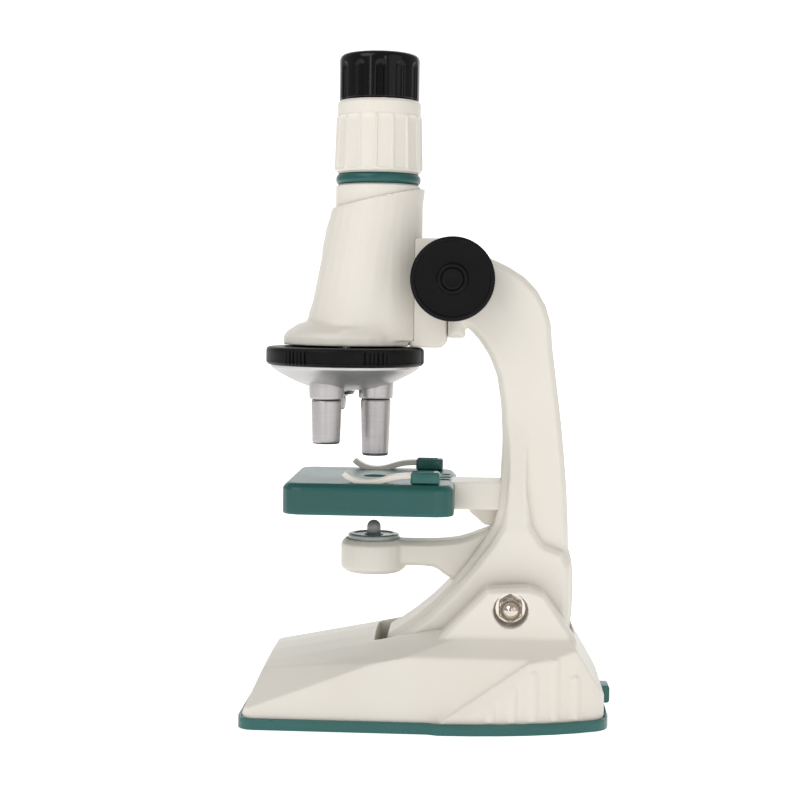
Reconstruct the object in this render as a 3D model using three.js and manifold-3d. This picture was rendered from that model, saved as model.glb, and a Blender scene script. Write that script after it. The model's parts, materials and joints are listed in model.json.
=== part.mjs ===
// Toy compound microscope: a tilting arm on a battery base, a rack-and-pinion body tube,
// a three-lens turret, a clipped stage and a lamp below it. Millimetres, +Z up, +Y away from
// the near side, the origin on the floor under the middle of the object.
import * as THREE from "three";
import { mergeVertices } from "three/addons/utils/BufferGeometryUtils.js";
import Module from "manifold-3d";

const wasm = await Module();
wasm.setup();

// ---- driving dimensions ----
const fit = 0.3; // gap between pieces that slide, turn or are cut to each other
const seat = 0.1; // gap between pieces that sit on each other
const wall = 2.2; // moulded wall thickness

const baseRear = 62.4; // rear edge of the base plate
const baseHalf = 38.9; // half width of the front of the base plate
const rearStep = 1.2; // how far the rear of the base stands out on each side
const stepX = 2.8; // where that step is
const plateFloor = 2.6; // thickness of the plate's floor
const plateRim = 3.8; // height of the rim around the shell
const rimWidth = 1.1; // width of that rim
const crownRadius = 98; // crown across the top face of the base
const crownSlope = 0.2; // rise of the top face towards the arm
const slotFront = -18.9; // front edge of the arm's slot
const slotHalf = 16.9; // half width of the arm's slot
const wellFloor = 14; // how far down the walls of the slot reach
const cheekFace = 27; // outer face of the cheeks beside the arm

const cellRadius = 7.25; // AA cell
const cellLength = 50.5;
const cellGap = 1; // space between the two cells
const cellLift = 0.4; // space under the cells
const cellClear = 1.15; // space between the rear cell and the wall of the slot
const noseLength = 11.95; // from the front edge of the plate to the front cell
const bevelDrop = 6.6; // how far below the top of the cells the bevelled sides start at the front
const cellPitch = 2 * cellRadius + cellGap;
const rearCellX = slotFront - wall - cellClear - cellRadius;
const frontCellX = rearCellX - cellPitch;
const baseFront = frontCellX - cellRadius - noseLength; // front edge of the base plate
const crownTop = 4 * cellRadius; // height of the top face at the front of the slot

const hingeX = 28.3; // tilt hinge
const hingeZ = 40.3;
const boltRadius = 2.5; // M5 bolt
const nutAcross = 8; // across flats of the dome nut and the bolt head
const nutRecess = 6.05; // radius of the recess around the nut
const recessFloor = 19.6; // floor of that recess

const armHalf = 11.5; // half thickness of the upper arm
const footHalf = 15.7; // half thickness of the foot of the arm
const hingeBossRadius = 8; // boss around the hinge bolt inside the foot
const headFront = 4.9; // front face of the arm's head
const headBottom = 133;
const headTop = 164;

const tubeX = -20.65; // optical axis of the body tube
const turretX = -31.7; // axis of the objective turret
const turretHeight = 122.7; // underside of the turret ring
const turretTop = 129.2; // top of the turret ring
const turretRadius = 28.1;
const objectiveTilt = 120; // degrees between objectives

const focusX = 6.6; // focus shaft
const focusZ = 153.4;
const shaftRadius = 1.2;
const gearModule = 0.6;
const pinionTeeth = 14;
const rackHalf = 2; // half width of the rack and the pinion
const knobRadius = 14.6;
const knobInner = 18; // inner face of a focus knob
const knobOuter = 27; // outer face of a focus knob

const blockRear = 4.6; // rear face of the carriage on the body tube
const blockFront = -8.5;
const blockHalf = 8.5;
const blockBottom = 129.5;
const blockTop = 167.8;

const tubeRadius = 15; // body tube
const tubeTop = 186;
const trimBottom = 186.4;
const trimTop = 190.2;
const zoomBottom = 190.6;
const zoomTop = 215.6;
const zoomRadius = 14.85;
const capTop = 232.5; // top of the eyepiece
const capRadius = 14.15;
const drawRadius = 11.4; // draw tube that carries the eyepiece

const stageFront = -50.8;
const stageRear = 8.3;
const stageHalf = 30;
const stageTop = 83.2;
const stageBottom = 72.4;
const stageCorner = 6.5;
const stageHole = 4;
const barHalf = 9; // half width of the stage bar
const barTop = 82.4;
const barBottom = 72.7;
const clipY = 24; // distance of the clips from the middle
const clipPivotX = -1.7;
const clipHalf = 2.4; // half width of a clip strip
const clipThick = 1.3;
const postHeight = 4.2;

const lampRadius = 11.7;
const lampBottom = 49;
const lampTop = 61.2;
const lampArmHalf = 6;
const ledRadius = 2.5;
const ledTop = 67.3;

// ---- colours ----
const paints = {
  cream: { color: 0xded7cb, roughness: 0.45, metalness: 0 },
  green: { color: 0x2c6860, roughness: 0.4, metalness: 0 },
  black: { color: 0x17171a, roughness: 0.45, metalness: 0 },
  silver: { color: 0xb9b9ba, roughness: 0.35, metalness: 0.8 },
  nickel: { color: 0xcfc8bd, roughness: 0.2, metalness: 1 },
  lens: { color: 0xdfe8ee, roughness: 0.05, metalness: 0 },
  clear: { color: 0x9a9a98, roughness: 0.25, metalness: 0 },
  cell: { color: 0x8f9499, roughness: 0.35, metalness: 0.6 },
  wire: { color: 0x7a2f2c, roughness: 0.5, metalness: 0 },
};

// ---- solids ----
function solid(geometry) {
  const bare = geometry.clone();
  bare.deleteAttribute("normal");
  bare.deleteAttribute("uv");
  const merged = mergeVertices(bare, 1e-4);
  return new wasm.Manifold(
    new wasm.Mesh({
      numProp: 3,
      vertProperties: new Float32Array(merged.attributes.position.array),
      triVerts: new Uint32Array(merged.index.array),
    }),
  );
}

function joined(...parts) {
  return parts.reduce((whole, part) => whole.add(part));
}

function cut(body, ...tools) {
  return tools.reduce((left, tool) => left.subtract(tool), body);
}

function geometryOf(body) {
  const mesh = body.getMesh();
  const geometry = new THREE.BufferGeometry();
  geometry.setAttribute("position", new THREE.BufferAttribute(mesh.vertProperties, 3));
  geometry.setIndex(new THREE.BufferAttribute(mesh.triVerts, 1));
  const flat = geometry.toNonIndexed();
  flat.computeVertexNormals();
  return flat;
}

function block(x0, x1, y0, y1, z0, z1) {
  const box = new THREE.BoxGeometry(x1 - x0, y1 - y0, z1 - z0);
  return solid(box.translate((x0 + x1) / 2, (y0 + y1) / 2, (z0 + z1) / 2));
}

// An upright cylinder or cone.
function post(x, y, z0, z1, radius, topRadius = radius, sides = 20) {
  const round = new THREE.CylinderGeometry(topRadius, radius, z1 - z0, sides);
  return solid(round.rotateX(Math.PI / 2).translate(x, y, (z0 + z1) / 2));
}

// A cylinder that lies along Y.
function axle(x, z, y0, y1, radius, sides = 24, farRadius = radius) {
  const round = new THREE.CylinderGeometry(farRadius, radius, y1 - y0, sides);
  return solid(round.translate(x, (y0 + y1) / 2, z));
}

function area(points) {
  return points.reduce((sum, p, i) => {
    const q = points[(i + 1) % points.length];
    return sum + (p[0] * q[1] - q[0] * p[1]) / 2;
  }, 0);
}

function wound(points) {
  return area(points) < 0 ? [...points].reverse() : points;
}

// Moves every side of an outline inwards by a distance.
function inset(outline, distance) {
  const points = wound(outline);
  const count = points.length;
  return points.map((p, i) => {
    const before = points[(i + count - 1) % count];
    const after = points[(i + 1) % count];
    const a = new THREE.Vector2(p[0] - before[0], p[1] - before[1]).normalize();
    const b = new THREE.Vector2(after[0] - p[0], after[1] - p[1]).normalize();
    const normal = new THREE.Vector2(-a.y - b.y, a.x + b.x).normalize();
    const reach = distance / Math.max(0.4, normal.dot(new THREE.Vector2(-a.y, a.x)));
    return [p[0] + normal.x * reach, p[1] + normal.y * reach];
  });
}

function extruded(outline, depth, chamfer = 0) {
  const shape = new THREE.Shape(wound(outline).map((p) => new THREE.Vector2(...p)));
  const geometry = new THREE.ExtrudeGeometry(shape, {
    depth: depth - 2 * chamfer,
    bevelEnabled: chamfer > 0,
    bevelThickness: chamfer,
    bevelSize: chamfer,
    bevelOffset: -chamfer,
    bevelSegments: 1,
    steps: 1,
  });
  return geometry.translate(0, 0, chamfer);
}

// An outline in plan, extruded upwards.
function planSolid(outline, z0, z1, chamfer = 0) {
  return solid(extruded(outline, z1 - z0, chamfer).translate(0, 0, z0));
}

// An outline of x and z, extruded across the object.
function sideSolid(outline, y0, y1, chamfer = 0) {
  const geometry = extruded(outline, y1 - y0, chamfer).rotateX(Math.PI / 2);
  return solid(geometry.translate(0, y1, 0));
}

// An outline of y and z, extruded along the object.
function frontSolid(outline, x0, x1) {
  const turn = new THREE.Matrix4().makeBasis(
    new THREE.Vector3(0, 1, 0),
    new THREE.Vector3(0, 0, 1),
    new THREE.Vector3(1, 0, 0),
  );
  return solid(extruded(outline, x1 - x0).applyMatrix4(turn).translate(x0, 0, 0));
}

// A profile of radius and height, turned about an upright axis.
function turned(x, y, profile, sides = 24) {
  const points = wound(profile).map((p) => new THREE.Vector2(...p));
  const start = points.findIndex((p, i) => {
    const next = points[(i + 1) % points.length];
    return p.x === 0 && next.x === 0;
  });
  const order = start < 0 ? [...points, points[0]] : rolled(points, start + 1);
  const lathe = new THREE.LatheGeometry(order, sides).rotateX(Math.PI / 2);
  return solid(lathe.translate(x, y, 0));
}

function rolled(list, first) {
  return [...list.slice(first), ...list.slice(0, first)];
}

// The same, lying along Y with the profile's height measured outwards from the middle.
function turnedAlongY(x, z, side, profile, sides = 24) {
  const upright = turned(0, 0, profile, sides);
  const geometry = geometryOf(upright).rotateX((-side * Math.PI) / 2);
  return solid(geometry.translate(x, 0, z));
}

// Everything on the far side of a plane, as a block.
function beyond(point, normal) {
  const reach = 300;
  const box = new THREE.BoxGeometry(reach, reach, reach).translate(0, 0, reach / 2);
  const facing = new THREE.Vector3(...normal).normalize();
  box.applyQuaternion(new THREE.Quaternion().setFromUnitVectors(new THREE.Vector3(0, 0, 1), facing));
  return solid(box.translate(...point));
}

function curveThrough(points, count) {
  const line = new THREE.SplineCurve(points.map((p) => new THREE.Vector2(...p)));
  return line.getPoints(count).map((p) => [p.x, p.y]);
}

function arcPoints(x, y, radius, from, to, count) {
  return Array.from({ length: count + 1 }, (_, i) => {
    const angle = THREE.MathUtils.degToRad(from + ((to - from) * i) / count);
    return [x + radius * Math.cos(angle), y + radius * Math.sin(angle)];
  });
}

function roundedRectangle(x0, x1, y0, y1, radius, steps = 5) {
  return [
    ...arcPoints(x1 - radius, y1 - radius, radius, 0, 90, steps),
    ...arcPoints(x0 + radius, y1 - radius, radius, 90, 180, steps),
    ...arcPoints(x0 + radius, y0 + radius, radius, 180, 270, steps),
    ...arcPoints(x1 - radius, y0 + radius, radius, 270, 360, steps),
  ];
}

function mirroredOutline(half) {
  return [...half, ...[...half].reverse().map(([x, y]) => [x, -y])];
}

function hexagon(x, z, acrossFlats) {
  return arcPoints(x, z, acrossFlats / Math.sqrt(3), 90, 390, 5);
}

const group = new THREE.Group();

function piece(name, body, paint) {
  const mesh = new THREE.Mesh(geometryOf(body), new THREE.MeshStandardMaterial(paints[paint]));
  mesh.name = name;
  group.add(mesh);
  return body;
}

// ---- base ----
// The plan of the base plate: a straight front, a step out and a tail that curves in.
function footprint() {
  const corner = 5.5;
  const tailStart = [stepX + 1.7, baseHalf + rearStep];
  const tail = new THREE.QuadraticBezierCurve(
    new THREE.Vector2(...tailStart),
    new THREE.Vector2(baseRear - 24.4, baseHalf + rearStep - 0.6),
    new THREE.Vector2(baseRear - 3.9, baseHalf - 10.1),
  );
  const end = new THREE.QuadraticBezierCurve(
    new THREE.Vector2(baseRear - 3.9, baseHalf - 10.1),
    new THREE.Vector2(baseRear - 0.2, baseHalf - 12.4),
    new THREE.Vector2(baseRear, baseHalf - 17),
  );
  const half = [
    ...arcPoints(baseFront + corner, baseHalf - corner, corner, 180, 90, 4),
    [stepX - 2.4, baseHalf],
    ...tail.getPoints(6).map((p) => [p.x, p.y]),
    ...end.getPoints(3).slice(1).map((p) => [p.x, p.y]),
  ];
  return mirroredOutline(half);
}

const shellBottom = plateFloor + seat;
const shellInset = rimWidth + 0.25;
const shellFront = baseFront + shellInset;
const shellRear = baseRear - shellInset;
const shellHalf = baseHalf - shellInset;
const deep = 30; // how far the outlines of the shell run on below it, before it is trimmed
const creaseHeight = 25; // where the side wall turns into the slope up to the cheek

function sideOutline() {
  return [
    [shellFront, -deep],
    [shellFront, plateRim + 0.8],
    [shellFront + 12, plateRim + 29],
    [hingeX - 12, crownTop + 2.3],
    [hingeX + 20.6, crownTop + 2.3],
    [shellRear, 11.2],
    [shellRear, -deep],
  ];
}

function endOutline(half) {
  return [
    [half, -deep],
    [half, plateRim],
    [half - 3.6, creaseHeight],
    [cheekFace, creaseHeight + 6],
    [cheekFace, 70],
    [-cheekFace, 70],
    [-cheekFace, creaseHeight + 6],
    [-half + 3.6, creaseHeight],
    [-half, plateRim],
    [-half, -deep],
  ];
}

function cheekOutline() {
  return [
    [hingeX - 30.7, creaseHeight - 0.8],
    [hingeX - 8.2, hingeZ + 7.4],
    [hingeX + 6.4, hingeZ + 8.1],
    [hingeX + 11.6, hingeZ + 6.2],
    [hingeX + 19.6, hingeZ - 5.4],
    [hingeX + 22.8, hingeZ - 10.1],
    [hingeX + 22.8, wellFloor - 4],
    [hingeX - 30.7, wellFloor - 4],
  ];
}

// The panel that stands out on each side at the rear, below a diagonal edge.
function panelOutline() {
  return [
    [stepX + 2.2, plateRim + 0.4],
    [hingeX + 6.6, creaseHeight - 0.4],
    [hingeX + 20.8, creaseHeight],
    [shellRear, 11.2],
    [shellRear, -deep],
    [stepX + 2.2, -deep],
  ];
}

// The outside of the base shell, or its inside when set in by the wall.
function baseForm(by) {
  const shape = (outline) => (by > 0 ? inset(outline, by) : outline);
  const plan = planSolid(inset(footprint(), shellInset + by), by > 0 ? -deep : shellBottom, 70);
  const low = sideSolid(shape(sideOutline()), -60, 60);
  const front = frontSolid(shape(endOutline(shellHalf + 0.1)), -100, 100);
  const rear = frontSolid(shape(endOutline(shellHalf + rearStep)), -100, 100);
  const panel = sideSolid(shape(panelOutline()), -60, 60);
  const crown = new THREE.CylinderGeometry(crownRadius - by, crownRadius - by, 400, 64);
  crown.rotateZ(-Math.PI / 2).rotateY(-Math.atan(crownSlope));
  const top = solid(crown.translate(slotFront, 0, crownTop - crownRadius * 1.0198));
  const bevels = [1, -1].map((side) =>
    beyond([baseFront + 7, side * (shellHalf - 0.55), 2 * cellRadius - bevelDrop - by * 1.3], [-79.5, side * 200.2, 246.9]),
  );
  const body = cut(low.intersect(front).intersect(top), ...bevels);
  const cheeks = sideSolid(shape(cheekOutline()), -cheekFace + by, cheekFace - by, by > 0 ? 0 : 1.6);
  return joined(body, panel.intersect(rear), cheeks.intersect(rear)).intersect(plan);
}

// The space that the foot of the arm hangs and swings in.
function armWell(half) {
  const slot = block(slotFront - half + slotHalf, hingeX + 18, -half, half, wellFloor, 80);
  const swing = axle(hingeX, hingeZ, -half, half, 24.6 + half - slotHalf, 48);
  return joined(slot, swing);
}

const bossPlaces = [
  [-15, 30.5],
  [-15, -30.5],
  [50, 24],
  [50, -24],
];

const ribCount = 5;
const ribProud = 0.6; // how far the ribs stand out
function sideRib(i, side) {
  const x = hingeX - 6.6 + 7.25 * i;
  const top = i < ribCount - 1 ? 10.5 + 4.8 * i : 18;
  const rib = axle(x, top, 20, 50, 1.15, 8).add(block(x - 1.15, x + 1.15, 20, 50, plateRim + 0.5, top));
  return side > 0 ? rib : rib.mirror([0, 1, 0]);
}

function baseShell() {
  const outer = baseForm(0);
  const hollow = baseForm(wall);
  const well = armWell(slotHalf + wall).intersect(outer);
  const wellBand = well.intersect(block(-80, 80, -60, 60, wellFloor, 80));
  const bosses = bossPlaces.map(([x, y]) => post(x, y, shellBottom, 40, 3, 3, 10).intersect(outer));
  const hingeBoss = axle(hingeX, hingeZ, -cheekFace + 0.4, cheekFace - 0.4, nutRecess + 2).intersect(outer);
  const ribs = [];
  for (const side of [-1, 1]) {
    for (let i = 0; i < ribCount; i += 1) {
      ribs.push(sideRib(i, side));
    }
  }
  const proud = baseForm(-ribProud).intersect(joined(...ribs));
  const ribbed = outer.add(proud);
  const shell = joined(cut(ribbed, hollow), wellBand, hingeBoss, ...bosses);
  const recesses = [-1, 1].map((side) => {
    const span = [side * recessFloor, side * 60].sort((a, b) => a - b);
    return axle(hingeX, hingeZ, ...span, nutRecess);
  });
  const pilots = bossPlaces.map(([x, y]) => post(x, y, shellBottom - 1, 13, 1.3, 1.3, 8));
  const switchSlot = block(50, 80, -switchTravel - tabHalf - fit, switchTravel + tabHalf + fit, 4, 10.9);
  return cut(
    shell,
    armWell(slotHalf),
    axle(hingeX, hingeZ, -60, 60, boltRadius + 0.2),
    ...recesses,
    ...pilots,
    switchSlot,
    leadTunnel(),
  );
}

function doorOutline(gap) {
  const front = frontCellX - cellRadius - 2.6;
  const rear = rearCellX + cellRadius + 2.6;
  const half = cellLength / 2 + 4;
  return roundedRectangle(front - gap, rear + gap, -half - gap, half + gap, 2, 3);
}

function basePlate() {
  const rim = cut(
    planSolid(footprint(), 0, plateRim),
    planSolid(inset(footprint(), rimWidth), plateFloor, plateRim + 1),
  );
  const holes = bossPlaces.map(([x, y]) => post(x, y, -1, plateFloor + 1, 1.7, 1.7, 10));
  const sinks = bossPlaces.map(([x, y]) => post(x, y, -1, 1.2, 3, 3, 12));
  return cut(rim, planSolid(doorOutline(fit), -1, plateFloor + 1), ...holes, ...sinks);
}

function plateScrew([x, y]) {
  return turned(x, y, [[0, 0.2], [2.6, 0.2], [2.6, 1.1], [1.1, 1.1], [1.1, 11], [0, 12]], 16);
}

function batteryCell(x) {
  const z = plateFloor + cellLift + cellRadius;
  const half = cellLength / 2;
  const can = axle(x, z, -half, half - 1.2, cellRadius - 0.1, 28);
  return can.add(axle(x, z, half - 1.3, half, 2.6, 16));
}

// A sprung contact strip across the ends of both cells.
function cellContact(side) {
  const x0 = frontCellX - 6;
  const x1 = rearCellX + 6;
  const y = side * (cellLength / 2 + 0.2);
  const span = [y, y + side * 0.6].sort((a, b) => a - b);
  return block(x0, x1, ...span, plateFloor + cellLift, plateFloor + cellLift + 12);
}

const tabHalf = 4;
const switchTravel = 2;
function switchBody() {
  const body = block(48.6, 56.4, -9, 9, 3.4, 12);
  return cut(body, block(52.4, 60, -switchTravel - tabHalf - fit, switchTravel + tabHalf + fit, 4, 10.9));
}

// The tab lies at the off end of its travel.
function switchTab() {
  const low = 4.4;
  const high = 10.5;
  const span = [-switchTravel - tabHalf, -switchTravel + tabHalf];
  const stem = block(52.8, shellRear + 0.3, ...span, low, high);
  const outline = roundedRectangle(shellRear - 0.6, -baseFront, low, high, 1, 3);
  return stem.add(sideSolid(outline, ...span));
}

// ---- tilt hinge ----
function hingeBolt() {
  const head = sideSolid(hexagon(hingeX, hingeZ, nutAcross), recessFloor + 1.1, recessFloor + 4.6);
  const threadEnd = recessFloor + 5.2;
  return head.add(axle(hingeX, hingeZ, -threadEnd, recessFloor + 1.2, boltRadius, 24));
}

function hingeWasher(side) {
  const inner = recessFloor + seat;
  return turnedAlongY(hingeX, hingeZ, side, [
    [boltRadius + 0.2, inner],
    [5.2, inner],
    [5.2, inner + 0.9],
    [boltRadius + 0.2, inner + 0.9],
  ], 16);
}

function domeNut() {
  const face = recessFloor + 1.1;
  const hex = sideSolid(hexagon(hingeX, hingeZ, nutAcross), -face - 3.4, -face);
  const dome = turnedAlongY(hingeX, hingeZ, -1, [
    [0, face + 2],
    [3.6, face + 2],
    [3.6, face + 4],
    [3.1, face + 5.6],
    [1.9, face + 6.8],
    [0, face + 7.3],
  ], 16);
  return cut(hex.add(dome), axle(hingeX, hingeZ, -recessFloor - 5.6, 0, boltRadius + 0.1, 24));
}

function frictionWasher(side) {
  return turnedAlongY(hingeX, hingeZ, side, [
    [boltRadius + 0.3, footHalf + seat],
    [7.5, footHalf + seat],
    [7.5, slotHalf - seat],
    [boltRadius + 0.3, slotHalf - seat],
  ], 16);
}

// ---- arm ----
// The side view of the arm from its head down to the toe in the base.
function armOutline(hollow) {
  const inner = curveThrough([
    [headFront + 6, headBottom + 4.4],
    [16.2, 132.2],
    [22.5, 119.9],
    [24.9, 96.8],
    [23.2, 72],
    [20.2, 64.4],
    [7.6, 46.5],
    [-5.1, 34.6],
    [-14.7, 28.2],
  ], 16);
  const bottom = arcPoints(hingeX, hingeZ, 23.6, -110, -28, 6);
  const outer = curveThrough([
    [50.4, 44],
    [50, 54.3],
    [48.4, 60.5],
    [47.9, 75.8],
    [45.1, 104.3],
    [41.7, 128.4],
    [40.6, 140],
    [36.2, 149.6],
    [29, 156.4],
    [20, 160.8],
  ], 14);
  const rest = [...inner, [-15.8, 19], ...bottom, [50, 36.2], ...outer, [12, headTop]];
  const head = [[headFront, headTop], [headFront, headBottom], [headFront + 6, headBottom]];
  const hollowHead = [[headFront, headTop], [headFront, headBottom + 5]];
  return [...rest, ...(hollow ? hollowHead : head)];
}

// The wider foot, below the crease behind the lamp, and the band that runs up from it.
function footOutline(hollow) {
  const front = [
    [26.8, 106],
    [27.2, 88],
    [26.2, 74],
  ];
  const inner = curveThrough([
    ...(hollow ? [] : front),
    [23.6, 65.2],
    [12.2, 49.5],
    [-1.5, 35],
    [-13.4, 26.6],
  ], hollow ? 7 : 11);
  const bottom = arcPoints(hingeX, hingeZ, 22.4, -110, -28, 5);
  const crease = [
    [39.7, 61.7],
    [35.4, 68.4],
    [33.4, 80],
    [33, 106],
  ];
  return [...inner, [-14, 19.6], ...bottom, [49, 37], [49, 54], [46.5, 59.3], ...(hollow ? [[34, 63]] : crease)];
}

const bandLow = 66; // the band grows thinner from here up
const bandHigh = 104; // and is level with the side of the arm here
function armForm() {
  const upper = sideSolid(armOutline(false), -armHalf, armHalf, 2);
  const foot = sideSolid(footOutline(false), -footHalf, footHalf, 2);
  const tapers = [1, -1].map((side) => {
    return beyond([0, side * footHalf, bandLow], [0, side * (bandHigh - bandLow), footHalf - armHalf]);
  });
  return upper.add(cut(foot, ...tapers));
}

function armHollow() {
  const upper = sideSolid(inset(armOutline(true), wall + 1), -armHalf + wall, armHalf - wall);
  const foot = sideSolid(inset(footOutline(true), wall + 1), -footHalf + wall, footHalf - wall);
  return upper.add(foot);
}

// Guide rails on the head that the carriage's lips slide on.
const railFront = 1.2;
const railThick = 1.6;
const railHalf = 6;
const neckHalf = 4.2;
function guideRail(side) {
  const inner = rackHalf + 0.5;
  const span = (a, b) => [side * a, side * b].sort((p, q) => p - q);
  const plate = block(railFront, railFront + railThick, ...span(inner, railHalf), headBottom - 2, headTop);
  const neck = block(railFront + 0.2, headFront + 1, ...span(inner, neckHalf), headBottom + 0.4, headTop);
  return plate.add(neck);
}

const armScrewPlaces = [
  [14, 141],
  [36, 108],
  [36, 62],
];

function armHalfBody(side) {
  const half = side > 0 ? block(-40, 80, 0.05, 40, 0, 200) : block(-40, 80, -40, -0.05, 0, 200);
  const shell = cut(armForm(), armHollow());
  const pillars = armScrewPlaces.map(([x, z]) => axle(x, z, -armHalf + 1, armHalf - 1, 4.2, 12));
  const hingeBoss = axle(hingeX, hingeZ, -footHalf, footHalf, hingeBossRadius);
  const shaftBoss = axle(focusX + 2, focusZ, -armHalf + 0.5, armHalf - 0.5, 6.4, 32);
  const collarSpan = [side * (armHalf - 1), side * (knobInner - 0.5)].sort((a, b) => a - b);
  const collar = axle(focusX, focusZ, ...collarSpan, 4.6);
  const whole = joined(shell, ...pillars, hingeBoss, shaftBoss.intersect(armForm()), collar);
  const pinionRoom = joined(
    axle(focusX, focusZ, -rackHalf - 0.6, rackHalf + 0.6, pinionTip + 0.5, 32),
    block(-10, focusX, -rackHalf - 0.5, rackHalf + 0.5, focusZ - pinionTip - 0.5, focusZ + pinionTip + 0.5),
  );
  const shaftHole = axle(focusX, focusZ, -40, 40, shaftRadius + 0.2, 20);
  const tools = [
    axle(hingeX, hingeZ, -40, 40, boltRadius + 0.3, 24),
    shaftHole,
    pinionRoom,
    ...armScrewPlaces.map(([x, z]) => armScrewHole(x, z)),
    stageBracketForm(fit / 2),
    lampBracketForm(fit / 2),
    leadTunnel(),
  ];
  return cut(whole.intersect(half), ...tools).add(cut(guideRail(side), pinionRoom, shaftHole));
}

// Arm screws go in from the far side.
function armScrewHole(x, z) {
  return joined(
    axle(x, z, -armHalf + wall, armHalf, 1.25, 8),
    axle(x, z, armHalf - 3.2, armHalf + 5, 2.9, 12),
  );
}

function armScrew([x, z]) {
  const shank = axle(x, z, -armHalf + wall + 1.5, armHalf - 3, 1.1, 12);
  return shank.add(axle(x, z, armHalf - 3.1, armHalf - 1.4, 2.6, 16));
}

function leadTunnel() {
  return block(18, 24, -2, 2, 16, 24);
}

// ---- stage ----
function stageBracketForm(gap) {
  const bar = block(stageRear - 12 - gap, 31 + gap, -barHalf - gap, barHalf + gap, barBottom - gap, barTop + gap);
  const web = sideSolid(
    inset([[13.4, barBottom + 1], [28, barBottom + 1], [28, 66.6], [19, 66.6], [13.4, 71.4]], -gap),
    -3 - gap,
    3 + gap,
  );
  return bar.add(web);
}

function stageBracket() {
  const holes = stageScrewPlaces.map(([x, y]) => post(x, y, 60, 90, 1.2, 1.2, 16));
  return cut(stageBracketForm(0), ...holes);
}

const stageScrewPlaces = [
  [2.4, 5],
  [2.4, -5],
];
const stageSkin = 2.4;

function stageOutline(by) {
  return inset(roundedRectangle(stageFront, stageRear, -stageHalf, stageHalf, stageCorner, 4), by);
}

function stagePlate() {
  const chamfer = 1.7;
  const body = planSolid(stageOutline(0), stageBottom, stageTop, chamfer);
  const slab = planSolid(stageOutline(0), stageBottom, stageTop - chamfer - seat).add(body);
  const under = planSolid(stageOutline(stageSkin), stageBottom - 1, stageTop - stageSkin);
  const bosses = stageScrewPlaces.map(([x, y]) => post(x, y, barTop + seat, stageTop - 0.5, 3, 3, 20));
  const sockets = [-1, 1].map((side) => post(clipPivotX, side * clipY, stageTop - 7, stageTop - 0.5, 3.4, 3.4, 24));
  const grooves = [-8.3, 0, 8.3].map((y) => block(3, 6.4, y - 2.3, y + 2.3, stageTop - 0.8, stageTop + 1));
  const barRoom = block(
    stageRear - 12.4 - fit,
    stageRear + 1,
    -barHalf - fit / 2,
    barHalf + fit / 2,
    stageBottom - 1,
    barTop + seat,
  );
  const pins = [-1, 1].map((side) => post(clipPivotX, side * clipY, stageTop - 8, stageTop + 1, 1.8, 1.8, 20));
  return cut(
    joined(cut(slab, under), ...bosses, ...sockets),
    post(tubeX, 0, 60, 100, stageHole, stageHole, 36),
    barRoom,
    ...grooves,
    ...pins,
    ...stageScrewPlaces.map(([x, y]) => post(x, y, 60, stageTop - 1.1, 0.95, 0.95, 14)),
  );
}

function stageScrew([x, y]) {
  return turned(x, y, [
    [0, barBottom - 1.9],
    [2.4, barBottom - 1.9],
    [2.4, barBottom - 0.1],
    [0.8, barBottom - 0.1],
    [0.8, stageTop - 1.4],
    [0, stageTop - 1.4],
  ], 16);
}

function clipPost(side) {
  const y = side * clipY;
  const outline = roundedRectangle(clipPivotX - 5, clipPivotX + 5, y - 3.4, y + 3.4, 1.4, 3);
  const head = planSolid(outline, stageTop + seat, stageTop + postHeight, 0.5);
  const pin = post(clipPivotX, y, stageTop - 6.4, stageTop + 1, 1.6, 1.6, 20);
  const slot = block(
    clipPivotX - 9,
    clipPivotX + 2.9,
    y - clipHalf - 0.1,
    y + clipHalf + 0.1,
    stageTop + postHeight - clipThick - 0.5,
    stageTop + postHeight + 2,
  );
  return cut(head.add(pin), slot);
}

// A springy strip that dips to the slide and turns up at its tip.
function clipStrip(side) {
  const y = side * clipY;
  const line = curveThrough([
    [-28, 86.5],
    [-24.6, 84.6],
    [-20, 84],
    [-15.5, 84.9],
    [-11.5, 86.3],
    [-6.9, 86.5],
  ], 18).map(([x, z]) => [x, z + stageTop - 83.2]);
  const level = stageTop + postHeight - clipThick / 2 - 0.3;
  line.push([clipPivotX + 2.6, level]);
  const upper = line.map(([x, z]) => [x, z + clipThick / 2]);
  const lower = line.map(([x, z]) => [x, z - clipThick / 2]).reverse();
  return sideSolid([...upper, ...lower], y - clipHalf, y + clipHalf);
}

// ---- lamp ----
function lampBracketForm(gap) {
  const top = curveThrough([[-0.6, 60.5], [10, 61.6], [20.2, 65.4]], 6);
  const bottom = curveThrough([[26, 38], [7.4, 47.3], [1.5, 51.2], [-5, 51.7]], 7);
  const outline = [[tubeX + 4, 60.5], ...top, [26, 65.6], ...bottom, [tubeX + 4, 51.7]];
  const form = sideSolid(inset(outline, -gap), -lampArmHalf - gap, lampArmHalf + gap, 1.5);
  return cut(form, axle(hingeX, hingeZ, -20, 20, hingeBossRadius + fit - gap));
}

const discRadius = 9.2;
function lampBracket() {
  const cup = turned(tubeX, 0, [
    [0, lampBottom],
    [lampRadius - 2, lampBottom],
    [lampRadius, lampBottom + 1.6],
    [lampRadius, lampTop - 2.2],
    [lampRadius - 1.4, lampTop - 0.4],
    [lampRadius - 3, lampTop],
    [0, lampTop],
  ], 24);
  const whole = cup.add(cut(lampBracketForm(0), post(tubeX, 0, 0, 100, lampRadius - 1, lampRadius - 1, 24)));
  const room = post(tubeX, 0, lampBottom + wall, lampTop + 2, discRadius - 1.6, discRadius - 1.6, 24);
  const ledge = post(tubeX, 0, lampTop - 1.6, lampTop + 2, discRadius + 0.15, discRadius + 0.15, 24);
  return cut(whole, room, ledge, leadBore());
}

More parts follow.
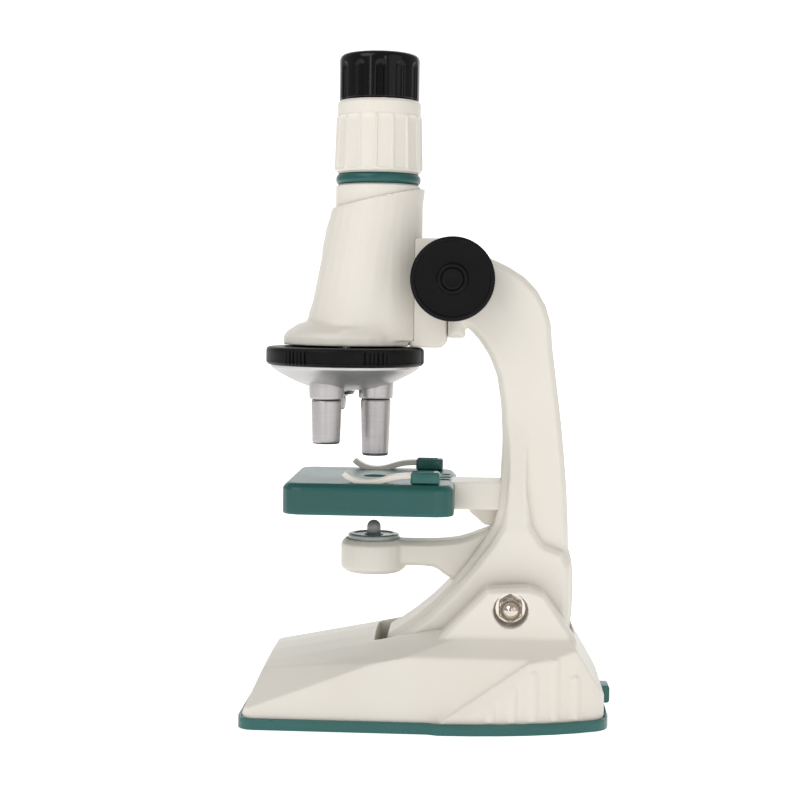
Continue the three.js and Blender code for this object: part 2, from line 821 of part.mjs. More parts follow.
function lampDisc() {
  return turned(tubeX, 0, [
    [ledRadius + 0.2, lampTop - 1.5],
    [discRadius, lampTop - 1.5],
    [discRadius, lampTop + 0.9],
    [discRadius - 0.6, lampTop + 1.4],
    [ledRadius + 0.2, lampTop + 1.4],
  ], 24);
}

function led() {
  const flange = lampTop - 3.2;
  return turned(tubeX, 0, [
    [0, flange],
    [ledRadius + 0.5, flange],
    [ledRadius + 0.5, lampTop - 1.9],
    [ledRadius, lampTop - 1.7],
    [ledRadius, ledTop - ledRadius],
    [ledRadius * 0.87, ledTop - ledRadius / 2],
    [ledRadius * 0.5, ledTop - 0.34],
    [0, ledTop],
  ], 16);
}

// The lamp's lead runs through the lamp arm and down inside the arm.
function tubeAlong(points, radius, sides = 8) {
  const path = new THREE.CatmullRomCurve3(points.map((p) => new THREE.Vector3(...p)), false, "centripetal");
  const ring = new THREE.Shape(
    arcPoints(0, 0, radius, 0, 360 - 360 / sides, sides - 1).map((p) => new THREE.Vector2(...p)),
  );
  const geometry = new THREE.ExtrudeGeometry(ring, { steps: 24, bevelEnabled: false, extrudePath: path });
  return solid(geometry);
}

const leadRoute = [
  [tubeX + 3, 0, 56],
  [-6, 0, 56.2],
  [6, 0, 56],
  [15.5, 0, 51],
  [17.2, 0, 44],
  [17.2, 0, 34],
  [20.4, 0, 26],
  [21, 0, 18],
];

function leadBore() {
  return tubeAlong([[tubeX, 0, 56], [-6, 0, 56.2], [6, 0, 56], [15.5, 0, 51], [17.2, 0, 44], [17.2, 0, 34]], 1.9, 8);
}

function lampLead() {
  return tubeAlong(leadRoute, 1.1, 6);
}

// ---- focus drive ----
const pitchRadius = (gearModule * pinionTeeth) / 2;
const addendum = 0.85 * gearModule;
const dedendum = 1.15 * gearModule;
const pinionTip = pitchRadius + addendum;
const pressure = THREE.MathUtils.degToRad(20);
const backlash = 0.3; // taken off the width of each tooth at the pitch line, shared by both

// One flank point of an involute tooth: the radius and half the tooth's angle there.
function flankAngle(radius) {
  const baseRadius = pitchRadius * Math.cos(pressure);
  const turn = (r) => {
    const reach = Math.acos(Math.min(1, baseRadius / Math.max(r, baseRadius)));
    return Math.tan(reach) - reach;
  };
  const atPitch = (Math.PI * gearModule) / 2 - backlash / 2;
  return atPitch / 2 / pitchRadius + turn(pitchRadius) - turn(radius);
}

function pinionOutline() {
  const root = pitchRadius - dedendum;
  const levels = [root, pitchRadius * 0.95, pitchRadius, pitchRadius + addendum / 2, pinionTip];
  const outline = [];
  const step = (2 * Math.PI) / pinionTeeth;
  for (let i = 0; i < pinionTeeth; i += 1) {
    const middle = Math.PI + step * (i + 0.5);
    for (const r of levels) {
      outline.push([r, middle - flankAngle(r)]);
    }
    for (const r of [...levels].reverse()) {
      outline.push([r, middle + flankAngle(r)]);
    }
  }
  return outline.map(([r, a]) => [focusX + r * Math.cos(a), focusZ + r * Math.sin(a)]);
}

function pinion() {
  const gear = sideSolid(pinionOutline(), -rackHalf, rackHalf);
  return cut(gear, axle(focusX, focusZ, -9, 9, shaftRadius + 0.05, 24));
}

function focusShaft() {
  return axle(focusX, focusZ, -knobOuter + 2.2, knobOuter - 2.2, shaftRadius, 24);
}

function focusKnob(side) {
  return turnedAlongY(focusX, focusZ, side, [
    [shaftRadius + 0.05, knobInner],
    [5, knobInner],
    [knobRadius - 1, knobInner + 0.4],
    [knobRadius, knobInner + 1.2],
    [knobRadius, knobOuter - 1.4],
    [knobRadius - 0.9, knobOuter - 0.6],
    [5.4, knobOuter - 0.8],
    [5, knobOuter - 0.2],
    [3.4, knobOuter],
    [0, knobOuter],
    [0, knobOuter - 2],
    [shaftRadius + 0.05, knobOuter - 2],
  ], 28);
}

function rackTeeth() {
  const pitch = Math.PI * gearModule;
  const pitchLine = focusX - pitchRadius;
  const tip = pitchLine + addendum;
  const root = pitchLine - dedendum;
  const slope = Math.tan(pressure);
  const half = pitch / 4 - backlash / 4;
  const count = Math.floor((blockTop - 2 - focusZ) / pitch);
  const low = Math.floor((focusZ - blockBottom - 2) / pitch);
  const outline = [[railFront - fit - 0.5, blockBottom + 1]];
  outline.push([root, blockBottom + 1]);
  for (let i = -low; i <= count; i += 1) {
    const z = focusZ + i * pitch;
    outline.push([root, z - half - dedendum * slope]);
    outline.push([tip, z - half + addendum * slope]);
    outline.push([tip, z + half - addendum * slope]);
    outline.push([root, z + half + dedendum * slope]);
  }
  outline.push([root, blockTop - 0.6]);
  outline.push([railFront - fit - 0.5, blockTop - 0.6]);
  return sideSolid(outline, -rackHalf, rackHalf);
}

function carriage() {
  const corner = 3;
  const outline = [
    [blockFront, blockBottom],
    ...arcPoints(blockRear - corner, blockBottom + corner, corner, 270, 360, 5),
    [blockRear, blockTop],
    [blockFront, blockTop],
  ];
  const body = sideSolid(outline, -blockHalf, blockHalf, 0.6);
  const lipFront = railFront + railThick;
  const wide = block(railFront - fit, lipFront + fit, -railHalf - fit, railHalf + fit, 100, 200);
  const narrow = block(lipFront, 20, -neckHalf - fit, neckHalf + fit, 100, 200);
  const screws = carriageScrewPlaces.map((z) => carriageScrewHole(z));
  return cut(body, hoodForm(-seat), skirtForm(-seat), wide, narrow, ...screws).add(rackTeeth());
}

const carriageScrewPlaces = [142, 160];
const carriageScrewY = 4.2;
const carriageFloor = railFront - fit; // floor of the carriage's slot

// The screws go in from the slot of the carriage, forwards into the housing.
function carriageScrewHole(z) {
  const shank = new THREE.CylinderGeometry(1.2, 1.2, 12, 12).rotateZ(Math.PI / 2);
  const sink = new THREE.CylinderGeometry(2, 2, 3, 16).rotateZ(Math.PI / 2);
  return joined(
    solid(shank.translate(carriageFloor - 5.5, carriageScrewY, z)),
    solid(sink.translate(carriageFloor + 0.1, carriageScrewY, z)),
  );
}

function carriageScrew(z) {
  const shank = new THREE.CylinderGeometry(1, 1, 7, 12).rotateZ(Math.PI / 2);
  const head = new THREE.CylinderGeometry(1.8, 1.8, 1.1, 16).rotateZ(Math.PI / 2);
  return joined(
    solid(shank.translate(carriageFloor - 4.4, carriageScrewY, z)),
    solid(head.translate(carriageFloor - 0.7, carriageScrewY, z)),
  );
}

// ---- body ----
const hoodSlope = 0.227;
const hoodTopMid = 181.6;
const skirtRadius = 22;
const skirtBottom = turretTop + 0.6;

// A round hood that leans forward as it goes down.
function hoodForm(by) {
  const topRadius = tubeRadius + 0.95 - by;
  const lowRadius = topRadius + 2.4;
  const low = skirtBottom + 2;
  const high = hoodTopMid + 8;
  const lean = (turretX + 3.4 - tubeX) / (low - hoodTopMid);
  const round = new THREE.CylinderGeometry(topRadius, lowRadius, high - low, 28);
  round.rotateX(Math.PI / 2).translate(0, 0, (high + low) / 2 - hoodTopMid);
  const shear = new THREE.Matrix4().set(1, 0, lean, tubeX, 0, 1, 0, 0, 0, 0, 1, hoodTopMid, 0, 0, 0, 1);
  const leaned = solid(round.applyMatrix4(shear));
  const barrel = post(tubeX, 0, low, high, topRadius, topRadius, 32);
  return cut(leaned.add(barrel), beyond([tubeX, 0, hoodTopMid - by * 0.5], [-hoodSlope, 0, 1]));
}

function skirtForm(by) {
  const r = skirtRadius - by;
  const round = turned(turretX, 0, [
    [0, skirtBottom],
    [r, skirtBottom],
    [r, skirtBottom + 4],
    [r - 5.6, skirtBottom + 7.8 - by],
    [0, skirtBottom + 7.8 - by],
  ], 28);
  const tail = planSolid(
    mirroredOutline([[turretX, r - 1], [turretX + 9, r - 3.4], [-14, r - 8], [blockFront - 0.4, blockHalf - by]]),
    skirtBottom,
    skirtBottom + 6.4 - by,
  );
  return round.add(tail);
}

const coreRadius = 13.2; // lower part of the body tube, inside the housing
const coreBottom = skirtBottom + 8;
const coreTop = 173.5;

function bodyHousing() {
  const bore = joined(
    post(tubeX, 0, coreBottom - seat, 230, coreRadius + 0.15, coreRadius + 0.15, 32),
    post(tubeX, 0, coreTop - seat, 230, tubeRadius + 0.15, tubeRadius + 0.15, 32),
  );
  const room = hoodForm(wall).intersect(block(-90, -12, -60, 60, skirtBottom + 3, 300));
  return cut(
    joined(hoodForm(0), skirtForm(0)),
    room,
    bore,
    block(blockFront + 8, 30, -60, 60, 0, 300),
    post(tubeX, 0, 100, 150, 5, 5, 20),
    post(turretX, 0, 100, skirtBottom + 5, 2.2, 2.2, 16),
    post(turretX, 0, skirtBottom + 2.2, skirtBottom + 9, 5, 5, 20),
    ...carriageScrewPlaces.map((z) => carriageScrewHole(z)),
  );
}

function bodyTube() {
  const inner = drawRadius + fit;
  return turned(tubeX, 0, [
    [inner, coreBottom],
    [coreRadius, coreBottom],
    [coreRadius, coreTop],
    [tubeRadius, coreTop + 1.5],
    [tubeRadius, tubeTop],
    [inner + 2.2, tubeTop],
    [inner + 2.2, zoomTop - 3],
    [inner, zoomTop - 3],
  ], 24);
}

function trimRing() {
  const inner = drawRadius + fit + 2.2 + 0.15;
  const r = zoomRadius + 0.1;
  return turned(tubeX, 0, [
    [inner, trimBottom],
    [r - 0.7, trimBottom],
    [r, trimBottom + 0.8],
    [r, trimTop - 0.8],
    [r - 0.7, trimTop],
    [inner, trimTop],
  ], 24);
}

function zoomRing() {
  const inner = drawRadius + fit + 2.2 + 0.15;
  const grip = 211.4;
  return turned(tubeX, 0, [
    [inner, zoomBottom],
    [zoomRadius - 0.4, zoomBottom],
    [zoomRadius + 0.8, zoomBottom + 1.2],
    [zoomRadius + 0.3, grip - 1.4],
    [zoomRadius - 0.1, grip],
    [zoomRadius, zoomTop - 0.5],
    [zoomRadius - 0.5, zoomTop],
    [inner, zoomTop],
  ], 28);
}

// ---- eyepiece ----
function drawTube() {
  return turned(tubeX, 0, [
    [drawRadius - 1.6, 180],
    [drawRadius, 180],
    [drawRadius, zoomTop + 9],
    [drawRadius - 1.6, zoomTop + 9],
  ], 24);
}

function eyepieceCap() {
  const low = zoomTop + 0.3;
  return turned(tubeX, 0, [
    [drawRadius + 0.1, low],
    [capRadius, low],
    [capRadius, capTop - 2.6],
    [capRadius - 0.8, capTop - 0.8],
    [capRadius - 2.6, capTop],
    [5.6, capTop],
    [4.6, capTop - 2],
    [4.6, capTop - 4],
    [drawRadius + 0.1, capTop - 4],
  ], 24);
}

function lensDisc(x, y, z, radius, thick) {
  return turned(x, y, [
    [0, z - thick],
    [radius * 0.6, z - thick * 0.8],
    [radius, z - thick * 0.35],
    [radius, z + thick * 0.35],
    [radius * 0.6, z + thick * 0.8],
    [0, z + thick],
  ], 16);
}

// ---- turret ----
const coneTop = 121.6;
const coneBottom = 113.7;
function turretRing() {
  return turned(turretX, 0, [
    [2.3, turretTop - 2.2],
    [22, turretTop - 2.2],
    [22, turretTop],
    [turretRadius - 1.2, turretTop],
    [turretRadius, turretTop - 1.2],
    [turretRadius, turretHeight + 0.8],
    [turretRadius - 0.8, turretHeight],
    [24, turretHeight],
    [24, turretTop - 4],
    [2.3, turretTop - 4],
  ], 32);
}

const objectiveReach = tubeX - turretX;
function objectivePlace(i) {
  const angle = THREE.MathUtils.degToRad(objectiveTilt * i);
  return [turretX + objectiveReach * Math.cos(angle), objectiveReach * Math.sin(angle)];
}

function turretCone() {
  const shape = turned(turretX, 0, [
    [2.3, turretTop - 4.2],
    [23.7, turretTop - 4.2],
    [23.7, turretHeight - 0.1],
    [26.4, turretHeight - 0.1],
    [26.2, coneTop],
    [20.5, 118],
    [13, 115],
    [7, coneBottom + 0.2],
    [2.3, coneBottom],
  ], 28);
  const bores = [0, 1, 2].map((i) => post(...objectivePlace(i), 100, 140, 4.2, 4.2, 16));
  return cut(shape, ...bores);
}

function turretRingBored() {
  const bores = [0, 1, 2].map((i) => post(...objectivePlace(i), 100, 140, 4.6, 4.6, 16));
  return cut(turretRing(), ...bores);
}

// A screwed-in objective: a tapered sleeve, a barrel and a bored nose.
const sleeveBottom = 110.5;
function objective(i, bottom, tipRadius) {
  const [x, y] = objectivePlace(i);
  const sleeveRadius = 6.35;
  const body = turned(x, y, [
    [3, bottom + 1.2],
    [tipRadius - 0.9, bottom],
    [tipRadius, bottom + 0.6],
    [5.1, sleeveBottom - 0.5],
    [5.1, sleeveBottom],
    [sleeveRadius - 0.4, sleeveBottom],
    [sleeveRadius, coneBottom + 4.6],
    [4, coneBottom + 4.6],
    [4, coneTop + 2],
    [3, coneTop + 2],
  ], 18);
  return cut(body, turretConeGrown());
}

function turretConeGrown() {
  const flesh = turned(turretX, 0, [
    [0, turretTop - 4.2],
    [23.7, turretTop - 4.2],
    [26.4, coneTop],
    [20.5, 118 - fit],
    [13, 115 - fit],
    [7, coneBottom + 0.2 - fit],
    [0, coneBottom - fit],
  ], 28);
  const bores = [0, 1, 2].map((i) => post(...objectivePlace(i), 100, 140, 4.1, 4.1, 16));
  return cut(flesh, ...bores);
}

function pivotScrew() {
  return turned(turretX, 0, [
    [0, coneBottom - 1.6],
    [3.2, coneBottom - 1.4],
    [4, coneBottom - 0.2],
    [2, coneBottom - 0.2],
    [2, skirtBottom + 2.4],
    [4, skirtBottom + 2.4],
    [4, skirtBottom + 4.4],
    [0, skirtBottom + 4.4],
  ], 16);
}

// ---- assembly ----
piece("base_shell", baseShell(), "cream");
piece("base_plate", basePlate(), "green");
piece("battery_door", planSolid(doorOutline(0), 0.1, 2.3), "green");
bossPlaces.forEach((place, i) => piece("plate_screw_" + (i + 1), plateScrew(place), "nickel"));
piece("battery_front", batteryCell(frontCellX), "cell");
piece("battery_rear", batteryCell(rearCellX), "cell");
piece("battery_contact_near", cellContact(-1), "nickel");
piece("battery_contact_far", cellContact(1), "nickel");
piece("switch_body", switchBody(), "black");
piece("power_switch", switchTab(), "green");
piece("hinge_bolt", hingeBolt(), "nickel");
piece("hinge_nut", domeNut(), "nickel");
piece("hinge_washer_near", hingeWasher(-1), "nickel");
piece("hinge_washer_far", hingeWasher(1), "nickel");
piece("friction_washer_near", frictionWasher(-1), "black");
piece("friction_washer_far", frictionWasher(1), "black");
piece("arm_near", armHalfBody(-1), "cream");
piece("arm_far", armHalfBody(1), "cream");
armScrewPlaces.forEach((place, i) => piece("arm_screw_" + (i + 1), armScrew(place), "nickel"));
piece("stage_bracket", stageBracket(), "cream");
piece("stage", stagePlate(), "green");
stageScrewPlaces.forEach((place, i) => piece("stage_screw_" + (i + 1), stageScrew(place), "nickel"));
piece("clip_post_near", clipPost(-1), "green");
piece("clip_post_far", clipPost(1), "green");
piece("clip_near", clipStrip(-1), "cream");
piece("clip_far", clipStrip(1), "cream");
piece("lamp_bracket", lampBracket(), "cream");
piece("lamp_disc", lampDisc(), "clear");
piece("led", led(), "clear");
piece("lamp_lead", lampLead(), "wire");
piece("focus_shaft", focusShaft(), "nickel");
piece("focus_pinion", pinion(), "cream");
piece("focus_knob_near", focusKnob(-1), "black");
piece("focus_knob_far", focusKnob(1), "black");
piece("carriage", carriage(), "cream");
piece("body_housing", bodyHousing(), "cream");
carriageScrewPlaces.forEach((z, i) => piece("carriage_screw_" + (i + 1), carriageScrew(z), "nickel"));
piece("body_tube", bodyTube(), "cream");
piece("trim_ring", trimRing(), "green");
piece("zoom_ring", zoomRing(), "cream");
piece("draw_tube", drawTube(), "black");
piece("eyepiece_cap", eyepieceCap(), "black");
piece("eye_lens", lensDisc(tubeX, 0, capTop - 7, drawRadius - 1.7, 2.2), "lens");
piece("field_lens", lensDisc(tubeX, 0, 186, drawRadius - 1.7, 2), "lens");
piece("turret_ring", turretRingBored(), "black");
piece("turret_cone", turretCone(), "silver");
piece("turret_pivot", pivotScrew(), "nickel");
piece("objective_high", objective(0, 90.6, 4.8), "silver");
piece("objective_low", objective(1, 106.3, 5), "silver");
piece("objective_mid", objective(2, 95.3, 4.9), "silver");
piece("lens_high", lensDisc(...objectivePlace(0), 93.4, 2.9, 0.9), "lens");
piece("lens_low", lensDisc(...objectivePlace(1), 109, 2.9, 0.9), "lens");
piece("lens_mid", lensDisc(...objectivePlace(2), 98, 2.9, 0.9), "lens");

export default group;
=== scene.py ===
import json
import math

import bmesh
import bpy
from mathutils import Matrix, Vector


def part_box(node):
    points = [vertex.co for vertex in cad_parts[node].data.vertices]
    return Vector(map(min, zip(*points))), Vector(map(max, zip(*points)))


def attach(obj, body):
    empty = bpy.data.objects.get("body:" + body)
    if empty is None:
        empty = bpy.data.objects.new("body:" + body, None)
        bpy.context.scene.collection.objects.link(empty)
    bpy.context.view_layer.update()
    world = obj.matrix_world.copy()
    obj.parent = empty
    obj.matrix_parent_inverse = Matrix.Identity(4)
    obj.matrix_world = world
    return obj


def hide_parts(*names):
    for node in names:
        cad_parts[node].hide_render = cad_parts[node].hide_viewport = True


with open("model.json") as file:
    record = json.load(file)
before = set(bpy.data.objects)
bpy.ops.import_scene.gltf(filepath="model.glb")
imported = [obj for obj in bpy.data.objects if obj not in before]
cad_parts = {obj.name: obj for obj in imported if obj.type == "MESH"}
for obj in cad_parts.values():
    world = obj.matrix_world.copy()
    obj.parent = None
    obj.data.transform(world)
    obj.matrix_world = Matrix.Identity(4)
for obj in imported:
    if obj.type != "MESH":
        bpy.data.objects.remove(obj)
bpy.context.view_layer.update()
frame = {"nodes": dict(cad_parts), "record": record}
mm = 0.001
print("frame loaded")


studio = {
    "place": (0.0165, -0.581, 0.146),
    "yaw": 2.8,  # degrees the camera is turned towards the front of the base
    "pitch": 3.5,
    "roll": 0.8,
    "lens": 73.5,
    "sky": 0.46,
    "strip": 0.55,
    "key": 5.0,
    "fill": 1.4,
    "back": 4.0,
    "floor": (0.93, 0.93, 0.93, 1),
    "glow": 0.66,
}


def addCamera():
    yaw, pitch, roll = (math.radians(studio[word]) for word in ("yaw", "pitch", "roll"))
    flat = math.cos(pitch)
    ahead = Vector((-math.sin(yaw) * flat, math.cos(yaw) * flat, -math.sin(pitch)))
    level = ahead.cross(Vector((0, 0, 1))).normalized()
    upright = level.cross(ahead)
    right = level * math.cos(roll) + upright * math.sin(roll)
    top = upright * math.cos(roll) - level * math.sin(roll)
    data = bpy.data.cameras.new("viewCamera")
    data.lens = studio["lens"]
    data.sensor_width = 36
    data.clip_start = 0.01
    camera = bpy.data.objects.new("viewCamera", data)
    turn = Matrix((right, top, -ahead)).transposed().to_4x4()
    camera.matrix_world = Matrix.Translation(studio["place"]) @ turn
    bpy.context.scene.collection.objects.link(camera)
    bpy.context.scene.camera = camera


def addLamp(name, place, aim, size, power):
    data = bpy.data.lights.new(name, "AREA")
    data.shape = "DISK"
    data.size = size
    data.energy = power
    lamp = bpy.data.objects.new(name, data)
    lamp.location = place
    lamp.rotation_euler = (Vector(aim) - Vector(place)).to_track_quat("-Z", "Y").to_euler()
    bpy.context.scene.collection.objects.link(lamp)
    return data


def addFloor(finish):
    bm = bmesh.new()
    bmesh.ops.create_grid(bm, x_segments=1, y_segments=1, size=4)
    far = [edge for edge in bm.edges if all(v.co.y > 3.9 for v in edge.verts)]
    for lift, push in ((0.3, 0.8), (1.0, 0.5), (4.0, 0.2)):  # the floor sweeps up into a backdrop
        grown = bmesh.ops.extrude_edge_only(bm, edges=far)["geom"]
        far = [item for item in grown if isinstance(item, bmesh.types.BMEdge)]
        corners = list({v for edge in far for v in edge.verts})
        bmesh.ops.translate(bm, verts=corners, vec=(0, push, lift))
    mesh = bpy.data.meshes.new("floor")
    bm.to_mesh(mesh)
    bm.free()
    mesh.materials.append(finish)
    floor = bpy.data.objects.new("floor", mesh)
    bpy.context.scene.collection.objects.link(floor)


class Wire:
    # a socket that takes part in sums and products
    def __init__(self, finish, socket):
        self.finish = finish
        self.socket = socket

    def calc(self, operation, first, second):
        return self.finish.add("ShaderNodeMath", {"operation": operation}, {0: first, 1: second})

    def __add__(self, other):
        return self.calc("ADD", self, other)

    __radd__ = __add__

    def __mul__(self, other):
        return self.calc("MULTIPLY", self, other)

    __rmul__ = __mul__

    def __sub__(self, other):
        return self.calc("SUBTRACT", self, other)

    def __rsub__(self, other):
        return self.calc("SUBTRACT", other, self)


def srgb(red, green, blue):
    return tuple(((c / 255 + 0.055) / 1.055) ** 2.4 for c in (red, green, blue)) + (1,)


class Finish:
    def __init__(self, name, constants):
        self.material = bpy.data.materials.new(name)
        self.material.use_nodes = True
        self.tree = self.material.node_tree
        self.shader = self.tree.nodes["Principled BSDF"]
        for word, value in constants.items():
            self.shader.inputs[word].default_value = value
        self.place = self.add("ShaderNodeTexCoord", {}, {}, "Object")

    def add(self, kind, settings, sockets, output=0):
        node = self.tree.nodes.new(kind)
        stops = settings.pop("stops", None)
        for word, value in settings.items():
            setattr(node, word, value)
        if stops:
            ramp = node.color_ramp.elements
            while len(ramp) < len(stops):
                ramp.new(0.5)
            for stop, (where, tint) in zip(ramp, stops):
                stop.position = where
                stop.color = tint
        for word, value in sockets.items():
            self.feed(node.inputs[word], value)
        return Wire(self, node.outputs[output])

    def feed(self, socket, value):
        if isinstance(value, Wire):
            self.tree.links.new(value.socket, socket)
        else:
            socket.default_value = value

    def paint(self, **inputs):
        for word, value in inputs.items():
            self.feed(self.shader.inputs[word.replace("_", " ")], value)
        return self.material

    def cloud(self, scale, detail=2.0, stretch=(1, 1, 1)):
        where = self.add("ShaderNodeMapping", {}, {"Vector": self.place, "Scale": stretch})
        sockets = {"Vector": where, "Scale": scale, "Detail": detail}
        return self.add("ShaderNodeTexNoise", {}, sockets)

    def mask(self, value, low, high):
        sockets = {"Value": value, "From Min": low, "From Max": high}
        return self.add("ShaderNodeMapRange", {"clamp": True}, sockets)

    def mix(self, share, first, second):
        return self.add("ShaderNodeMix", {"data_type": "RGBA"}, {0: share, 6: first, 7: second}, 2)

    def dent(self, height, depth):
        sockets = {"Height": height, "Distance": depth, "Strength": 1.0}
        return self.add("ShaderNodeBump", {}, sockets)

    def edges(self, low, high):
        rub = self.add("ShaderNodeNewGeometry", {}, {}, "Pointiness")
        return self.mask(rub, low, high)

    def scuffs(self, scale, low, high):
        # short fine scratches, lying two ways
        across = self.cloud(scale, 1.0, (1, 1, 0.06))
        along = self.cloud(scale, 1.0, (0.06, 1, 1))
        return self.mask(across, low, high) + self.mask(along, low, high)


def mouldedPlastic(name, look):
    f = Finish(name, {"Specular IOR Level": look.get("shine", 0.5), "Coat Roughness": 0.2})
    patches = f.mask(f.cloud(look["patch"], 3.0), 0.35, 0.7)
    grain = f.cloud(look["grain"], 2.0)
    flow = f.cloud(90, 2.0, (1, 1, 0.5))
    dust = f.mask(f.cloud(620, 4.0), 0.6, 0.78)
    worn = f.edges(0.505, 0.56)
    scratch = f.scuffs(700, 0.69, 0.74)
    base = f.mix(patches, look["tint"], look["shade"])
    base = f.mix(worn * look["wear"], base, look["pale"])
    base = f.mix(dust * look["dust"], base, look["soil"])
    rough = look["rough"] + patches * 0.05 + dust * 0.12 + scratch * 0.06 - worn * 0.05
    height = grain + flow * 3.0 - scratch * 0.5
    return f.paint(Base_Color=base, Roughness=rough, Normal=f.dent(height, look["relief"]))


def turnedMetal(name, look):
    f = Finish(name, {"Metallic": look["metal"], "Specular IOR Level": 0.5})
    rings = f.cloud(look["rings"], 2.0, (0.04, 0.04, 1))  # fine lathe lines around the piece
    smudge = f.mask(f.cloud(60, 3.0), 0.4, 0.75)
    specks = f.mask(f.cloud(1500, 2.0), 0.66, 0.75)
    worn = f.edges(0.51, 0.58)
    base = f.mix(rings * 0.5 + smudge * 0.3, look["tint"], look["shade"])
    base = f.mix(worn * 0.4, base, look["pale"])
    rough = look["rough"] + (rings - 0.5) * 0.12 + smudge * 0.07 + specks * 0.1
    lines = f.dent(rings + specks * 0.3, look["relief"])
    return f.paint(Base_Color=base, Roughness=rough, Normal=lines)


def clearPlastic(name, look):
    f = Finish(name, {"IOR": 1.49, "Transmission Weight": look["clear"]})
    haze = f.mask(f.cloud(140, 3.0), 0.4, 0.7)
    dust = f.mask(f.cloud(1700, 2.0), 0.66, 0.74)
    base = f.mix(haze, look["tint"], look["shade"])
    return f.paint(
        Base_Color=base,
        Roughness=look["rough"] + haze * 0.05 + dust * 0.2,
        Normal=f.dent(haze + dust * 0.2, 0.00001),
    )


def cellWrapper():
    f = Finish("cellWrap", {"Coat Weight": 0.3})
    apart = f.add("ShaderNodeSeparateXYZ", {}, {"Vector": f.place}, 1)
    bands = f.mask(apart, 0.009, 0.0093)
    rub = f.mask(f.cloud(300, 4.0), 0.55, 0.7)
    base = f.mix(bands, srgb(58, 62, 66), srgb(176, 128, 62))
    return f.paint(Base_Color=base, Roughness=0.3 + rub * 0.2, Normal=f.dent(rub, 0.00001))


def fibreSheet():
    f = Finish("fibreWasher", {"Specular IOR Level": 0.3})
    strands = f.cloud(900, 4.0, (1, 0.3, 1))
    base = f.mix(strands, srgb(96, 44, 34), srgb(62, 26, 22))
    return f.paint(Base_Color=base, Roughness=0.7 + strands * 0.2, Normal=f.dent(strands, 0.00004))


def floorPaper():
    glow = {"Emission Color": (1, 1, 1, 1), "Emission Strength": studio["glow"]}
    f = Finish("floorPaper", {"Specular IOR Level": 0.2, **glow})
    fibre = f.cloud(120, 3.0)
    base = f.mix(fibre * 0.2, studio["floor"], (0.9, 0.9, 0.9, 1))
    return f.paint(Base_Color=base, Roughness=0.85 + fibre * 0.1, Normal=f.dent(fibre, 0.00002))


finishes = {
    "cream_plastic": mouldedPlastic("creamPlastic", {
        "tint": srgb(223, 218, 208), "shade": srgb(219, 213, 202), "pale": srgb(234, 230, 222),
        "soil": srgb(206, 197, 181), "rough": 0.36, "patch": 26, "grain": 4200, "relief": 0.000012,
        "wear": 0.5, "dust": 0.16,
    }),
    "green_plastic": mouldedPlastic("greenPlastic", {
        "tint": srgb(12, 80, 76), "shade": srgb(9, 73, 69), "pale": srgb(52, 118, 110),
        "soil": srgb(58, 108, 100), "rough": 0.3, "patch": 34, "grain": 4800, "relief": 0.000012,
        "wear": 0.35, "dust": 0.14,
    }),
    "black_plastic": mouldedPlastic("blackPlastic", {
        "tint": srgb(9, 9, 10), "shade": srgb(13, 13, 14), "pale": srgb(48, 48, 48),
        "soil": srgb(48, 47, 44), "rough": 0.4, "patch": 60, "grain": 3600, "relief": 0.00002,
        "wear": 0.3, "dust": 0.1, "shine": 0.12,
    }),
    "gloss_black": mouldedPlastic("glossBlack", {
        "tint": srgb(5, 5, 5), "shade": srgb(8, 8, 8), "pale": srgb(30, 30, 30),
        "soil": srgb(48, 46, 43), "rough": 0.1, "patch": 50, "grain": 1500, "relief": 0.000004,
        "wear": 0.15, "dust": 0.04, "shine": 0.22,
    }),
    "satin_silver": turnedMetal("satinSilver", {
        "tint": srgb(186, 183, 182), "shade": srgb(164, 161, 160), "pale": srgb(222, 221, 220),
        "metal": 0.8, "rough": 0.34, "rings": 2600, "relief": 0.00001,
    }),
    "nickel": turnedMetal("brightNickel", {
        "tint": srgb(214, 204, 192), "shade": srgb(190, 180, 168), "pale": srgb(238, 232, 224),
        "metal": 1.0, "rough": 0.13, "rings": 900, "relief": 0.000004,
    }),
    "steel": turnedMetal("zincSteel", {
        "tint": srgb(186, 187, 190), "shade": srgb(150, 150, 154), "pale": srgb(224, 224, 226),
        "metal": 1.0, "rough": 0.28, "rings": 1800, "relief": 0.00001,
    }),
    "lens_plastic": clearPlastic("lensPlastic", {
        "tint": (0.94, 0.97, 0.98, 1), "shade": (0.9, 0.94, 0.96, 1), "clear": 1.0, "rough": 0.02,
    }),
    "lamp_grey": turnedMetal("lampGrey", {
        "tint": srgb(168, 169, 166), "shade": srgb(150, 152, 149), "pale": srgb(198, 200, 197),
        "metal": 0.2, "rough": 0.22, "rings": 700, "relief": 0.000006,
    }),
    "led_lens": clearPlastic("ledLens", {
        "tint": srgb(172, 172, 170), "shade": srgb(156, 156, 154), "clear": 0.35, "rough": 0.16,
    }),
    "cell_wrap": cellWrapper(),
    "lead_sheath": mouldedPlastic("leadSheath", {
        "tint": srgb(150, 34, 30), "shade": srgb(128, 28, 25), "pale": srgb(176, 70, 62),
        "soil": srgb(96, 50, 42), "rough": 0.45, "patch": 80, "grain": 2200, "relief": 0.00002,
        "wear": 0.2, "dust": 0.2,
    }),
    "fibre_washer": fibreSheet(),
}
print("finishes mixed")

bodies = frame["record"]["behaviour"]["bodies"]
bodyOf = {node: body for body, nodes in bodies.items() for node in nodes}


def span(node):
    low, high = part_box(node)
    return low / mm, high / mm


def middle(node):
    low, high = span(node)
    return (low + high) / 2


def tidyMesh(bm):
    bmesh.ops.remove_doubles(bm, verts=bm.verts, dist=1e-7)
    bmesh.ops.recalc_face_normals(bm, faces=bm.faces)


